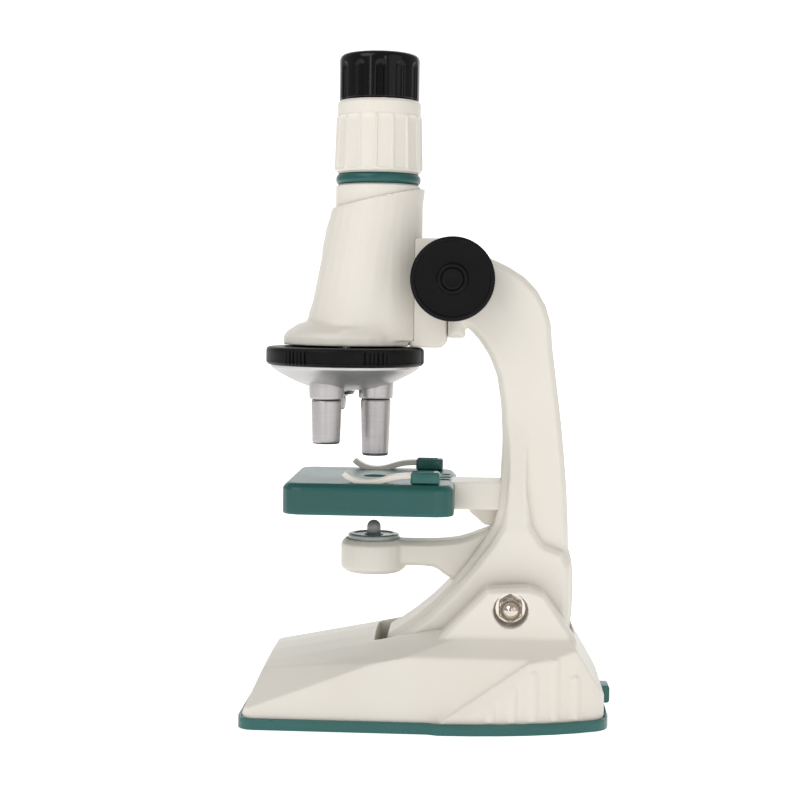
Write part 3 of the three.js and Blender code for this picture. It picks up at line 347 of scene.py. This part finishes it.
def softenEdges(bm, width, segments=3, angle=32):
    least = math.radians(angle)
    sharp = [e for e in bm.edges if len(e.link_faces) == 2 and e.calc_face_angle(0) > least]
    bmesh.ops.bevel(bm, geom=sharp, offset=width * mm, affect="EDGES", segments=segments,
                    profile=0.5, material=-1, clamp_overlap=True)


def publish(name, bm, slotName, nodes, sharp=38):
    mesh = bpy.data.meshes.new(name)
    bm.to_mesh(mesh)
    bm.free()
    return present(name, mesh, slotName, nodes, sharp)


def present(name, mesh, slotName, nodes, sharp=38):
    mesh.shade_smooth()
    mesh.set_sharp_from_angle(angle=math.radians(sharp))
    mesh.materials.clear()
    mesh.materials.append(finishes[slotName])
    piece = bpy.data.objects.new(name, mesh)
    bpy.context.scene.collection.objects.link(piece)
    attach(piece, bodyOf[nodes[0]])
    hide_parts(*nodes)
    return piece


wedges = 8  # a turned piece is one spun wedge copied round, which is quicker than a whole spin


def turnedForm(profile, steps=96, closed=False):
    # profile: (radius, height) in millimetres, spun about Z
    bm = bmesh.new()
    corners = [bm.verts.new((r * mm, 0, z * mm)) for r, z in profile]
    pairs = list(zip(corners, corners[1:]))
    if closed:
        pairs.append((corners[-1], corners[0]))
    rim = [bm.edges.new(pair) for pair in pairs]
    part = 2 * math.pi / wedges
    bmesh.ops.spin(bm, geom=corners + rim, cent=(0, 0, 0), axis=(0, 0, 1), dvec=(0, 0, 0),
                   angle=part, steps=steps // wedges, use_merge=False)
    wedge = bm.verts[:] + bm.edges[:] + bm.faces[:]
    for i in range(1, wedges):
        grown = bmesh.ops.duplicate(bm, geom=wedge)["geom"]
        moved = [item for item in grown if isinstance(item, bmesh.types.BMVert)]
        bmesh.ops.rotate(bm, verts=moved, cent=(0, 0, 0), matrix=Matrix.Rotation(part * i, 3, "Z"))
    bmesh.ops.remove_doubles(bm, verts=bm.verts, dist=5e-6)
    bmesh.ops.recalc_face_normals(bm, faces=bm.faces)
    return bm


def moveForm(bm, x, y, z=0, turn=None):
    matrix = Matrix.Translation((x * mm, y * mm, z * mm))
    if turn:
        matrix = matrix @ turn
    bmesh.ops.transform(bm, matrix=matrix, verts=bm.verts)


def carveRound(bm, depth):
    # moves every point inwards by depth(angle, height, radius), in millimetres
    for v in bm.verts:
        radius = math.hypot(v.co.x, v.co.y) / mm
        if radius < 0.01:
            continue
        cutBy = depth(math.atan2(v.co.y, v.co.x), v.co.z / mm, radius)
        v.co.x *= (radius - cutBy) / radius
        v.co.y *= (radius - cutBy) / radius


def levels(low, high, count):
    return [low + (high - low) * i / count for i in range(count + 1)]


def ramp(value, low, high):
    share = min(1.0, max(0.0, (value - low) / (high - low)))
    return share * share * (3 - 2 * share)


def rounded(corners, steps=5):
    # (radius, height, rounding): cuts each corner of a profile back to an arc
    out = []
    for i, (r, z, soft) in enumerate(corners):
        if not soft or i in (0, len(corners) - 1):
            out.append((r, z))
            continue
        here = Vector((r, z))
        before = (Vector(corners[i - 1][:2]) - here).normalized() * soft
        after = (Vector(corners[i + 1][:2]) - here).normalized() * soft
        for k in range(steps + 1):
            t = k / steps
            point = here + before * (1 - t) ** 2 + after * t ** 2
            out.append((point.x, point.y))
    return out


meeting = {"near": 0.06, "push": -6}  # the meeting faces are pushed past each other


def mouldedCopy(name, nodes, slotName, look):
    # a CAD solid with its edges rounded over, as it comes out of the mould
    bm = bmesh.new()
    for node in nodes:
        bm.from_mesh(frame["nodes"][node].data)
    bmesh.ops.remove_doubles(bm, verts=bm.verts, dist=1e-6)
    if len(nodes) > 1:  # halves that meet in the middle are run into each other
        for v in bm.verts:
            if abs(v.co.y) < meeting["near"] * mm:
                v.co.y *= meeting["push"]
    mesh = bpy.data.meshes.new(name)
    bm.to_mesh(mesh)
    bm.free()
    rough = bpy.data.objects.new(name + "Rough", mesh)
    bpy.context.scene.collection.objects.link(rough)
    grid = rough.modifiers.new("grid", "REMESH")
    grid.mode = "VOXEL"
    grid.voxel_size = look["grid"] * mm
    soft = rough.modifiers.new("soft", "SMOOTH")
    soft.factor = 0.5
    soft.iterations = look["passes"]
    thin = rough.modifiers.new("thin", "DECIMATE")
    thin.ratio = look["keep"]
    shaped = rough.evaluated_get(bpy.context.evaluated_depsgraph_get())
    done = bpy.data.meshes.new_from_object(shaped)
    bpy.data.objects.remove(rough)
    done.name = name
    if look.get("blendBelow"):  # hollow corners low on the piece are filled with a wide fillet
        bm = bmesh.new()
        bm.from_mesh(done)
        low = [v for v in bm.verts if look["blendFrom"] < v.co.z / mm < look["blendBelow"]]
        for _ in range(look["blendPasses"]):
            bmesh.ops.smooth_vert(bm, verts=low, factor=0.5, use_axis_x=True, use_axis_y=True,
                                  use_axis_z=True)
        bm.to_mesh(done)
        bm.free()
    if look.get("shape"):
        shifts = [look["shape"](v.co / mm, v.normal.copy()) for v in done.vertices]
        for v, shift in zip(done.vertices, shifts):
            v.co += shift * mm
    print(name, "moulded,", len(done.polygons), "faces")
    return present(name, done, slotName, nodes, 60)


def edgedCopy(name, node, slotName, width, segments=2, angle=30):
    # a plain CAD solid with a small radius along its edges
    bm = bmesh.new()
    bm.from_mesh(frame["nodes"][node].data)
    bmesh.ops.remove_doubles(bm, verts=bm.verts, dist=1e-6)
    bmesh.ops.dissolve_limit(bm, angle_limit=math.radians(1), verts=bm.verts, edges=bm.edges)
    softenEdges(bm, width, segments, angle)
    bmesh.ops.recalc_face_normals(bm, faces=bm.faces)
    return publish(name, bm, slotName, [node])


# grid: size of the remesh in mm; passes: smoothing; keep: share of the faces kept
base = {"grid": 0.56, "passes": 3, "keep": 0.42}
mouldedCopy("baseShell", ["base_shell"], "cream_plastic", base)
edgedCopy("basePlate", "base_plate", "green_plastic", 0.3)
edgedCopy("batteryDoor", "battery_door", "green_plastic", 0.3)
edgedCopy("powerSwitch", "power_switch", "green_plastic", 0.25)

# the parting line down the middle of the arm is a groove, seam deep
arm = {"grid": 0.6, "passes": 9, "keep": 0.42, "seam": 0.16, "seamHalf": 0.35}


def armShape(place, normal):
    near = 1 - ramp(abs(place.y), 0.0, arm["seamHalf"])
    return normal * (-arm["seam"] * near) if abs(normal.y) < 0.6 else Vector((0, 0, 0))


arm["shape"] = armShape
mouldedCopy("armShell", ["arm_near", "arm_far"], "cream_plastic", arm)
bracket = {"grid": 0.4, "passes": 4, "keep": 0.6}
mouldedCopy("stageBar", ["stage_bracket"], "cream_plastic", bracket)
mouldedCopy("lampArm", ["lamp_bracket"], "cream_plastic", bracket)

nut = {"flats": 8.0, "hexHigh": 3.4, "domeRadius": 3.35, "edge": 0.45, "skirt": 0.5}


def hingeNut():
    low, high = span("hinge_nut")
    bm = bmesh.new()
    circle = nut["flats"] / 2 / math.cos(math.pi / 6)
    bmesh.ops.create_circle(bm, cap_ends=True, segments=6, radius=circle * mm)
    face = bmesh.ops.extrude_face_region(bm, geom=bm.faces[:])["geom"]
    lifted = [v for v in face if isinstance(v, bmesh.types.BMVert)]
    bmesh.ops.translate(bm, verts=lifted, vec=(0, 0, nut["hexHigh"] * mm))
    tidyMesh(bm)
    softenEdges(bm, nut["edge"])
    tall = high.y - low.y
    r = nut["domeRadius"]
    neck = nut["hexHigh"] - 0.2
    crown = [(r * math.cos(a), tall - r + r * math.sin(a)) for a in levels(0, math.pi / 2, 10)]
    foot = r + nut["skirt"]
    skirt = [(0, neck), (foot, neck), (foot - 0.1, neck + 0.5), (r, neck + 0.8)]
    dome = turnedForm(skirt + crown, 48)
    part = bpy.data.meshes.new("dome")
    dome.to_mesh(part)
    dome.free()
    bm.from_mesh(part)
    bpy.data.meshes.remove(part)
    centre = middle("hinge_nut")
    moveForm(bm, centre.x, high.y, centre.z, Matrix.Rotation(math.pi / 2, 4, "X"))
    publish("hingeNut", bm, "nickel", ["hinge_nut"])


hingeNut()
edgedCopy("hingeBolt", "hinge_bolt", "nickel", 0.3)

stage = {"grid": 0.45, "passes": 3, "keep": 0.45}
mouldedCopy("stagePlate", ["stage"], "green_plastic", stage)
clip = {
    "half": 2.3,
    "thick": 2.05,
    "seat": 4.2,  # below the top of the post
    "edge": 0.4,
    # along the clip from its tip to its post, and the rise of its middle above the post's seat
    "line": [(-27.3, 4.1), (-26.4, 3.2), (-24.6, 2.0), (-21.8, 1.1), (-18.6, 0.98), (-15.4, 1.7),
             (-12.2, 2.9), (-8.8, 3.6), (-5.2, 3.75), (0.4, 3.6), (2.4, 3.6), (2.9, 3.6)],
}


def stageClip(side, name):
    low, high = span("clip_" + name)
    postLow, postHigh = span("clip_post_" + name)
    pivot = (postLow.x + postHigh.x) / 2
    seat = postHigh.z - clip["seat"]
    bm = bmesh.new()
    points = [bm.verts.new(((pivot + x) * mm, 0, (seat + z) * mm)) for x, z in clip["line"]]
    spine = [bm.edges.new(pair) for pair in zip(points, points[1:])]
    grown = bmesh.ops.extrude_edge_only(bm, edges=spine)["geom"]
    lifted = [v for v in grown if isinstance(v, bmesh.types.BMVert)]
    bmesh.ops.translate(bm, verts=lifted, vec=(0, clip["half"] * 2 * mm, 0))
    bmesh.ops.recalc_face_normals(bm, faces=bm.faces)
    bmesh.ops.solidify(bm, geom=bm.faces[:], thickness=clip["thick"] * mm)
    bmesh.ops.recalc_face_normals(bm, faces=bm.faces)
    moveForm(bm, 0, (low.y + high.y) / 2 - clip["half"])
    rims = [e for e in bm.edges if e.calc_face_angle(0) > math.radians(50)]
    bmesh.ops.bevel(bm, geom=rims, offset=clip["edge"] * mm, affect="EDGES", segments=3,
                    profile=0.5, material=-1)
    piece = publish("clip" + side, bm, "cream_plastic", ["clip_" + name], 60)
    smooth = piece.modifiers.new("smooth", "SUBSURF")
    smooth.levels = 2
    smooth.render_levels = 2


for side, name in (("Near", "near"), ("Far", "far")):
    stageClip(side, name)
    edgedCopy("clipPost" + side, "clip_post_" + name, "green_plastic", 0.3)

bulb = {"dome": 2.5, "flange": 0.5, "flangeHigh": 1.3}


def lampDisc():
    low, high = span("lamp_disc")
    centre = middle("lamp_disc")
    outer = (high.x - low.x) / 2
    inner = bulb["dome"] + 0.2
    profile = rounded([
        (inner, low.z, 0), (outer, low.z, 0.2), (outer, high.z - 0.3, 0.4),
        (outer - 1.2, high.z, 0.4), (outer - 1.9, high.z - 0.05, 0.3),
        (outer - 2.3, high.z - 0.45, 0.2), (inner + 0.9, high.z - 0.45, 0.2),
        (inner + 0.5, high.z - 0.1, 0.2), (inner, high.z - 0.1, 0),
    ])
    bm = turnedForm(profile, 96, True)
    moveForm(bm, centre.x, centre.y)
    publish("lampDisc", bm, "lamp_grey", ["lamp_disc"])


def lampBulb():
    low, high = span("led")
    centre = middle("led")
    r = bulb["dome"]
    wide = r + bulb["flange"]
    flange = low.z + bulb["flangeHigh"]
    crown = [(r * math.cos(a), high.z - r + r * math.sin(a)) for a in levels(0, math.pi / 2, 12)]
    bm = turnedForm([(0, low.z), (wide, low.z), (wide, flange), (r, flange + 0.2)] + crown, 64)
    moveForm(bm, centre.x, centre.y)
    publish("lampBulb", bm, "led_lens", ["led"])


lampDisc()
lampBulb()

knob = {"teeth": 96, "bite": 0.5, "boss": 5.0, "pip": 3.4, "dish": 0.5, "bore": 1.3}


def focusKnob(side, name):
    low, high = span("focus_knob_" + name)
    centre = middle("focus_knob_" + name)
    r = (high.x - low.x) / 2
    deep = high.y - low.y
    boss, pip = knob["boss"], knob["pip"]
    band = levels(1.9, deep - 2.0, 6)
    profile = [(0, 2.1), (knob["bore"], 2.1), (knob["bore"], 0), (5, 0)]
    profile += rounded([(5, 0, 0), (r - 1.6, 0.3, 0.5), (r - 0.3, 1.3, 0.5), (r, 1.9, 0)])
    profile += [(r, z) for z in band]
    profile += rounded([
        (r, deep - 2.0, 0), (r - 0.1, deep - 1.3, 0.3), (r - 0.9, deep - 0.75, 0.4),
        (r - 1.5, deep - 0.75, 0.2), (r - 1.8, deep - 1.2, 0.2), (boss + 0.6, deep - 1.2, 0.3),
        (boss, deep - 0.25, 0.35), (boss - 0.9, deep - 0.25, 0.3), (pip + 0.5, deep - 0.8, 0.25),
        (pip, deep, 0.45), (pip - 1.3, deep - 0.1, 0.5), (0, deep - knob["dish"], 0),
    ])
    bm = turnedForm(profile, knob["teeth"] * 2)
    tooth = 2 * math.pi / knob["teeth"]

    def bite(angle, height, radius):
        onBand = ramp(radius, r - 0.5, r - 0.1) * ramp(height, 1.0, 1.9)
        onBand *= 1 - ramp(height, deep - 1.9, deep - 1.2)
        return knob["bite"] * onBand * (0.5 + 0.5 * math.cos(angle / tooth * 2 * math.pi))

    carveRound(bm, bite)
    lay = -1 if side == "Near" else 1
    turn = Matrix.Rotation(-lay * math.pi / 2, 4, "X")
    moveForm(bm, centre.x, low.y if lay > 0 else high.y, centre.z, turn)
    publish("focusKnob" + side, bm, "black_plastic", ["focus_knob_" + name], 30)


focusKnob("Near", "near")
focusKnob("Far", "far")
print("arm, stage and drive made")

housing = {
    "grid": 0.5, "passes": 5, "keep": 0.9, "recess": 0.5,
    "blendFrom": 133.0, "blendBelow": 147.0, "blendPasses": 22,
    # front panel: how far its edge lies ahead of the tube's axis, by height above the floor
    "edge": [(139, 20.3), (146, 20.1), (156, 19.8), (165, 19.3), (171, 18.2), (176, 16.2),
             (180, 13)],
}


def panelEdge(height):
    for (low, ahead), (high, further) in zip(housing["edge"], housing["edge"][1:]):
        if height <= high:
            return ahead + (further - ahead) * (height - low) / (high - low)
    return housing["edge"][-1][1]


tubeAxis = middle("body_tube").x


def housingShape(place, normal):
    ahead = tubeAxis - place.x
    inside = ramp(ahead, panelEdge(place.z) - 0.3, panelEdge(place.z) + 0.5)
    inside *= ramp(place.z, 140.5, 146) * ramp(-normal.x, 0.2, 0.5)
    return normal * (-housing["recess"] * inside)


housing["shape"] = housingShape
mouldedCopy("bodyHousing", ["body_housing"], "cream_plastic", housing)
block = {"grid": 0.3, "passes": 4, "keep": 0.5}
mouldedCopy("carriageBlock", ["carriage"], "cream_plastic", block)
tube = {"bore": 11.7, "spigot": 13.2, "spigotTop": 173.5, "neck": 13.9, "bandBore": 14.05}


def tubeSleeve():
    low, high = span("body_tube")
    centre = middle("body_tube")
    r = (high.x - low.x) / 2
    shoulder = span("trim_ring")[0].z - 0.4
    bore, spigot, neck = tube["bore"], tube["spigot"], tube["neck"]
    profile = rounded([
        (bore, low.z, 0), (spigot, low.z, 0), (spigot, tube["spigotTop"], 0.3),
        (r, tube["spigotTop"] + 1.5, 0.4), (r, shoulder, 0.5), (neck, shoulder, 0.2),
        (neck, high.z, 0.3), (bore, high.z, 0),
    ])
    bm = turnedForm(profile, 128, True)
    moveForm(bm, centre.x, centre.y)
    publish("bodyTube", bm, "cream_plastic", ["body_tube"])


def trimBand():
    low, high = span("trim_ring")
    centre = middle("trim_ring")
    r = (high.x - low.x) / 2
    bore = tube["bandBore"]
    profile = rounded([
        (bore, low.z, 0), (r - 1.1, low.z, 0.4), (r, low.z + 0.7, 0.9), (r, high.z - 0.7, 0.9),
        (r - 1.1, high.z, 0.4), (bore, high.z, 0),
    ], 7)
    bm = turnedForm(profile, 128, True)
    moveForm(bm, centre.x, centre.y)
    publish("trimBand", bm, "green_plastic", ["trim_ring"])


tubeSleeve()
trimBand()

collar = {"ribs": 16, "gripTop": 19.9, "rib": 0.42, "ribHalf": 0.62, "bore": 14.1}


def zoomCollar():
    low, high = span("zoom_ring")
    centre = middle("zoom_ring")
    r = (high.x - low.x) / 2
    tall = high.z - low.z
    grip = collar["gripTop"]
    bore = collar["bore"]
    profile = rounded([(bore, 0, 0), (r - 1.3, 0, 0.4), (r - 0.05, 1.1, 0.6), (r - 0.05, 2.2, 0)])
    profile += [(r - 0.05 - 0.5 * t, 2.2 + (grip - 2.8) * t) for t in levels(0, 1, 18)[1:]]
    profile += rounded([
        (r - 0.55, grip - 0.6, 0), (r - 0.95, grip, 0.4), (r - 0.95, grip + 0.6, 0.2),
        (r - 0.9, tall - 0.9, 0.4), (r - 1.5, tall, 0.6), (bore, tall, 0),
    ])
    bm = turnedForm(profile, collar["ribs"] * 18, True)
    part = 2 * math.pi / collar["ribs"]

    def facet(angle, height, radius):
        if radius < bore + 0.2:
            return 0
        local = (angle / part) % 1 - 0.5
        onGrip = ramp(height, 0.6, 1.6) * (1 - ramp(height, grip - 0.9, grip - 0.1))
        flat = radius * (1 - math.cos(part / 2) / math.cos(local * part))
        edge = (0.5 - abs(local)) * part * radius
        rise = ramp(edge, collar["ribHalf"] * 0.4, collar["ribHalf"])
        return onGrip * (flat + collar["rib"] * rise)

    carveRound(bm, facet)
    moveForm(bm, centre.x, centre.y, low.z)
    publish("zoomCollar", bm, "cream_plastic", ["zoom_ring"], 30)


zoomCollar()

cup = {"flutes": 12, "fluteHalf": 1.75, "depth": 0.75, "fluteTop": 3.9, "eye": 5.6, "bore": 11.5,
       "lensHole": 4.6}


def eyeCup():
    low, high = span("eyepiece_cap")
    centre = middle("eyepiece_cap")
    r = (high.x - low.x) / 2
    tall = high.z - low.z
    eye, hole = cup["eye"], cup["lensHole"]
    profile = [(cup["bore"], 0), (r - 0.3, 0), (r, 0.3)]
    profile += [(r, z) for z in levels(0.3, tall - 3.0, 30)[1:]]
    profile += rounded([
        (r, tall - 3.0, 0), (r - 0.15, tall - 0.9, 1.7), (r - 3.6, tall - 0.15, 1.5),
        (eye + 1.6, tall, 0.8), (eye, tall - 0.5, 0.6), (hole, tall - 2.2, 0.4),
        (hole, tall - 4, 0),
    ], 8)
    profile.append((cup["bore"], tall - 4))
    bm = turnedForm(profile, cup["flutes"] * 20, True)
    part = 2 * math.pi / cup["flutes"]

    def flute(angle, height, radius):
        if radius < r - 1.2:
            return 0
        side = abs((angle / part + 0.35) % 1 - 0.5) * part * r
        end = tall - cup["fluteTop"]
        over = max(0.0, height - (end - cup["fluteHalf"]))
        away = math.hypot(side, over)
        return cup["depth"] * (1 - ramp(away, cup["fluteHalf"] * 0.62, cup["fluteHalf"]))

    carveRound(bm, flute)
    moveForm(bm, centre.x, centre.y, low.z)
    publish("eyeCup", bm, "gloss_black", ["eyepiece_cap"], 50)


eyeCup()

# pitch in degrees and half width in mm of the grooves, which stand in groups round the ring
turret = {"groups": 6, "first": -63, "grooves": 6, "pitch": 3.35, "half": 0.42, "depth": 0.55,
          "pivot": 2.3, "floor": 24, "lid": 22}


def turretRing():
    low, high = span("turret_ring")
    centre = middle("turret_ring")
    r = (high.x - low.x) / 2
    tall = high.z - low.z
    side = levels(0.9, tall - 1.8, 6)
    pivot, floor, lid = turret["pivot"], turret["floor"], turret["lid"]
    profile = [(pivot, tall - 4), (floor, tall - 4), (floor, 0)]
    profile += rounded([(floor, 0, 0), (r - 0.9, 0, 0.4), (r, 0.9, 0.5), (r, 1.2, 0)])
    profile += [(r, z) for z in side[1:]]
    profile += rounded([
        (r, tall - 1.8, 0), (r - 0.1, tall - 0.2, 1.2), (r - 3, tall, 0.5), (lid, tall, 0),
    ])
    profile += [(lid, tall - 2.2), (pivot, tall - 2.2)]
    bm = turnedForm(profile, 720, True)

    def groove(angle, height, radius):
        if radius < r - 1.6:
            return 0
        share = 360 / turret["groups"]
        turned = (math.degrees(angle) - turret["first"] + share / 2) % share
        local = turned - share / 2
        wide = turret["pitch"] * turret["grooves"] / 2
        if abs(local) > wide:
            return 0
        step = ((local + wide) / turret["pitch"]) % 1 - 0.5
        away = abs(step) * math.radians(turret["pitch"]) * r
        onSide = ramp(height, 0.3, 1.0) * (1 - ramp(height, tall - 1.7, tall - 0.5))
        return turret["depth"] * onSide * (1 - ramp(away, turret["half"] * 0.5, turret["half"]))

    carveRound(bm, groove)
    moveForm(bm, centre.x, centre.y, low.z)
    publish("turretRing", bm, "black_plastic", ["turret_ring"], 40)


# the cone's outside, from under the ring down to its middle
cone = {
    "collar": 23.7,
    "line": [(26.4, 8.9), (26.3, 8.1), (25.4, 7.3), (23.6, 6.2), (20.5, 4.5), (17, 2.8),
             (13, 1.35), (9, 0.5), (5, 0.1)],
}


def turretCone():
    low, high = span("turret_cone")
    centre = middle("turret_cone")
    tall = high.z - low.z
    profile = [(turret["pivot"], tall), (cone["collar"], tall), (cone["collar"], 8.9)]
    profile += cone["line"] + [(turret["pivot"], 0)]
    bm = turnedForm(profile, 144, True)
    moveForm(bm, centre.x, centre.y, low.z)
    publish("turretCone", bm, "satin_silver", ["turret_cone"], 40)


# sleeve: height of the step above the floor; tip: radius of each objective's nose
objective = {
    "sleeve": 111.0, "sleeveTop": 118.3, "barrel": 5.35, "bore": 2.9, "stem": 4,
    "tip": {"High": 4.7, "Low": 4.95, "Mid": 4.85},
}


def objectiveBarrel(name):
    node = "objective_" + name.lower()
    low, high = span(node)
    centre = middle(node)
    tip = objective["tip"][name]
    sleeve, sleeveTop = objective["sleeve"], objective["sleeveTop"]
    barrel, bore, stem = objective["barrel"], objective["bore"], objective["stem"]
    profile = rounded([
        (bore, low.z + 1.4, 0), (tip - 1.3, low.z + 0.5, 0.3), (tip - 0.9, low.z, 0.2),
        (tip - 0.3, low.z, 0.25), (tip, low.z + 0.7, 0.3), (tip + 0.06, low.z + 0.9, 0),
        (barrel, sleeve - 0.9, 0.2), (barrel - 0.3, sleeve - 0.4, 0.1),
        (barrel - 0.3, sleeve, 0.1), (barrel + 0.5, sleeve, 0.2),
        (barrel + 0.7, sleeve + 0.5, 0.2), (barrel + 1.0, sleeveTop, 0.3),
        (stem, sleeveTop + 0.1, 0.3), (stem, high.z, 0.2), (bore, high.z, 0),
    ], 4)
    bm = turnedForm(profile, 96, True)
    moveForm(bm, centre.x, centre.y)
    piece = publish("objective" + name, bm, "satin_silver", [node], 35)
    piece.data.materials.append(finishes["black_plastic"])
    for face in piece.data.polygons:  # the nose's rim is dark, and the groove under the sleeve is painted black as painted shade in the gap
        level = face.center.z / mm
        reach = math.hypot(face.center.x / mm - centre.x, face.center.y / mm - centre.y)
        if level < low.z + 0.45 or (sleeve - 0.42 < level < sleeve + 0.05 and reach < barrel):
            face.material_index = 1


turretRing()
turretCone()
for name in objective["tip"]:
    objectiveBarrel(name)
print("body, eyepiece and turret made")

# pieces that keep their CAD shape, by finish
kept = {
    "nickel": ["hinge_washer_near", "hinge_washer_far", "battery_contact_near",
               "battery_contact_far", "turret_pivot"],
    "steel": ["plate_screw_1", "plate_screw_2", "plate_screw_3", "plate_screw_4", "arm_screw_1",
              "arm_screw_2", "arm_screw_3", "stage_screw_1", "stage_screw_2",
              "carriage_screw_1", "carriage_screw_2", "focus_shaft"],
    "black_plastic": ["switch_body", "draw_tube"],
    "cell_wrap": ["battery_front", "battery_rear"],
    "fibre_washer": ["friction_washer_near", "friction_washer_far"],
    "lens_plastic": ["lens_high", "lens_low", "lens_mid", "eye_lens", "field_lens"],
    "lead_sheath": ["lamp_lead"],
    "cream_plastic": ["focus_pinion"],
}
for slotName, nodes in kept.items():
    for node in nodes:
        for place in frame["nodes"][node].material_slots:
            place.material = finishes[slotName]

addCamera()
addFloor(floorPaper())
addLamp("keyLight", (-0.7, -0.9, 1.0), (0, 0, 0.1), 0.9, studio["key"])
addLamp("fillLight", (0.9, -0.8, 0.5), (0, 0, 0.1), 0.9, studio["fill"])
addLamp("backLight", (0.1, 1.2, 1.3), (0, 0.2, 0.1), 1.2, studio["back"])
for name, across in (("stripLeft", -0.42), ("stripRight", 0.3)):
    strip = addLamp(name, (across, -0.95, 0.22), (-0.02, 0, 0.16), 0.05, studio["strip"])
    strip.shape = "RECTANGLE"
    strip.size_y = 0.7
sky = bpy.data.worlds.new("studioSky")
sky.use_nodes = True
sky.node_tree.nodes["Background"].inputs["Color"].default_value = (1, 1, 1, 1)
sky.node_tree.nodes["Background"].inputs["Strength"].default_value = studio["sky"]
bpy.context.scene.world = sky
bpy.context.scene.view_settings.view_transform = "Standard"
print("studio lit")
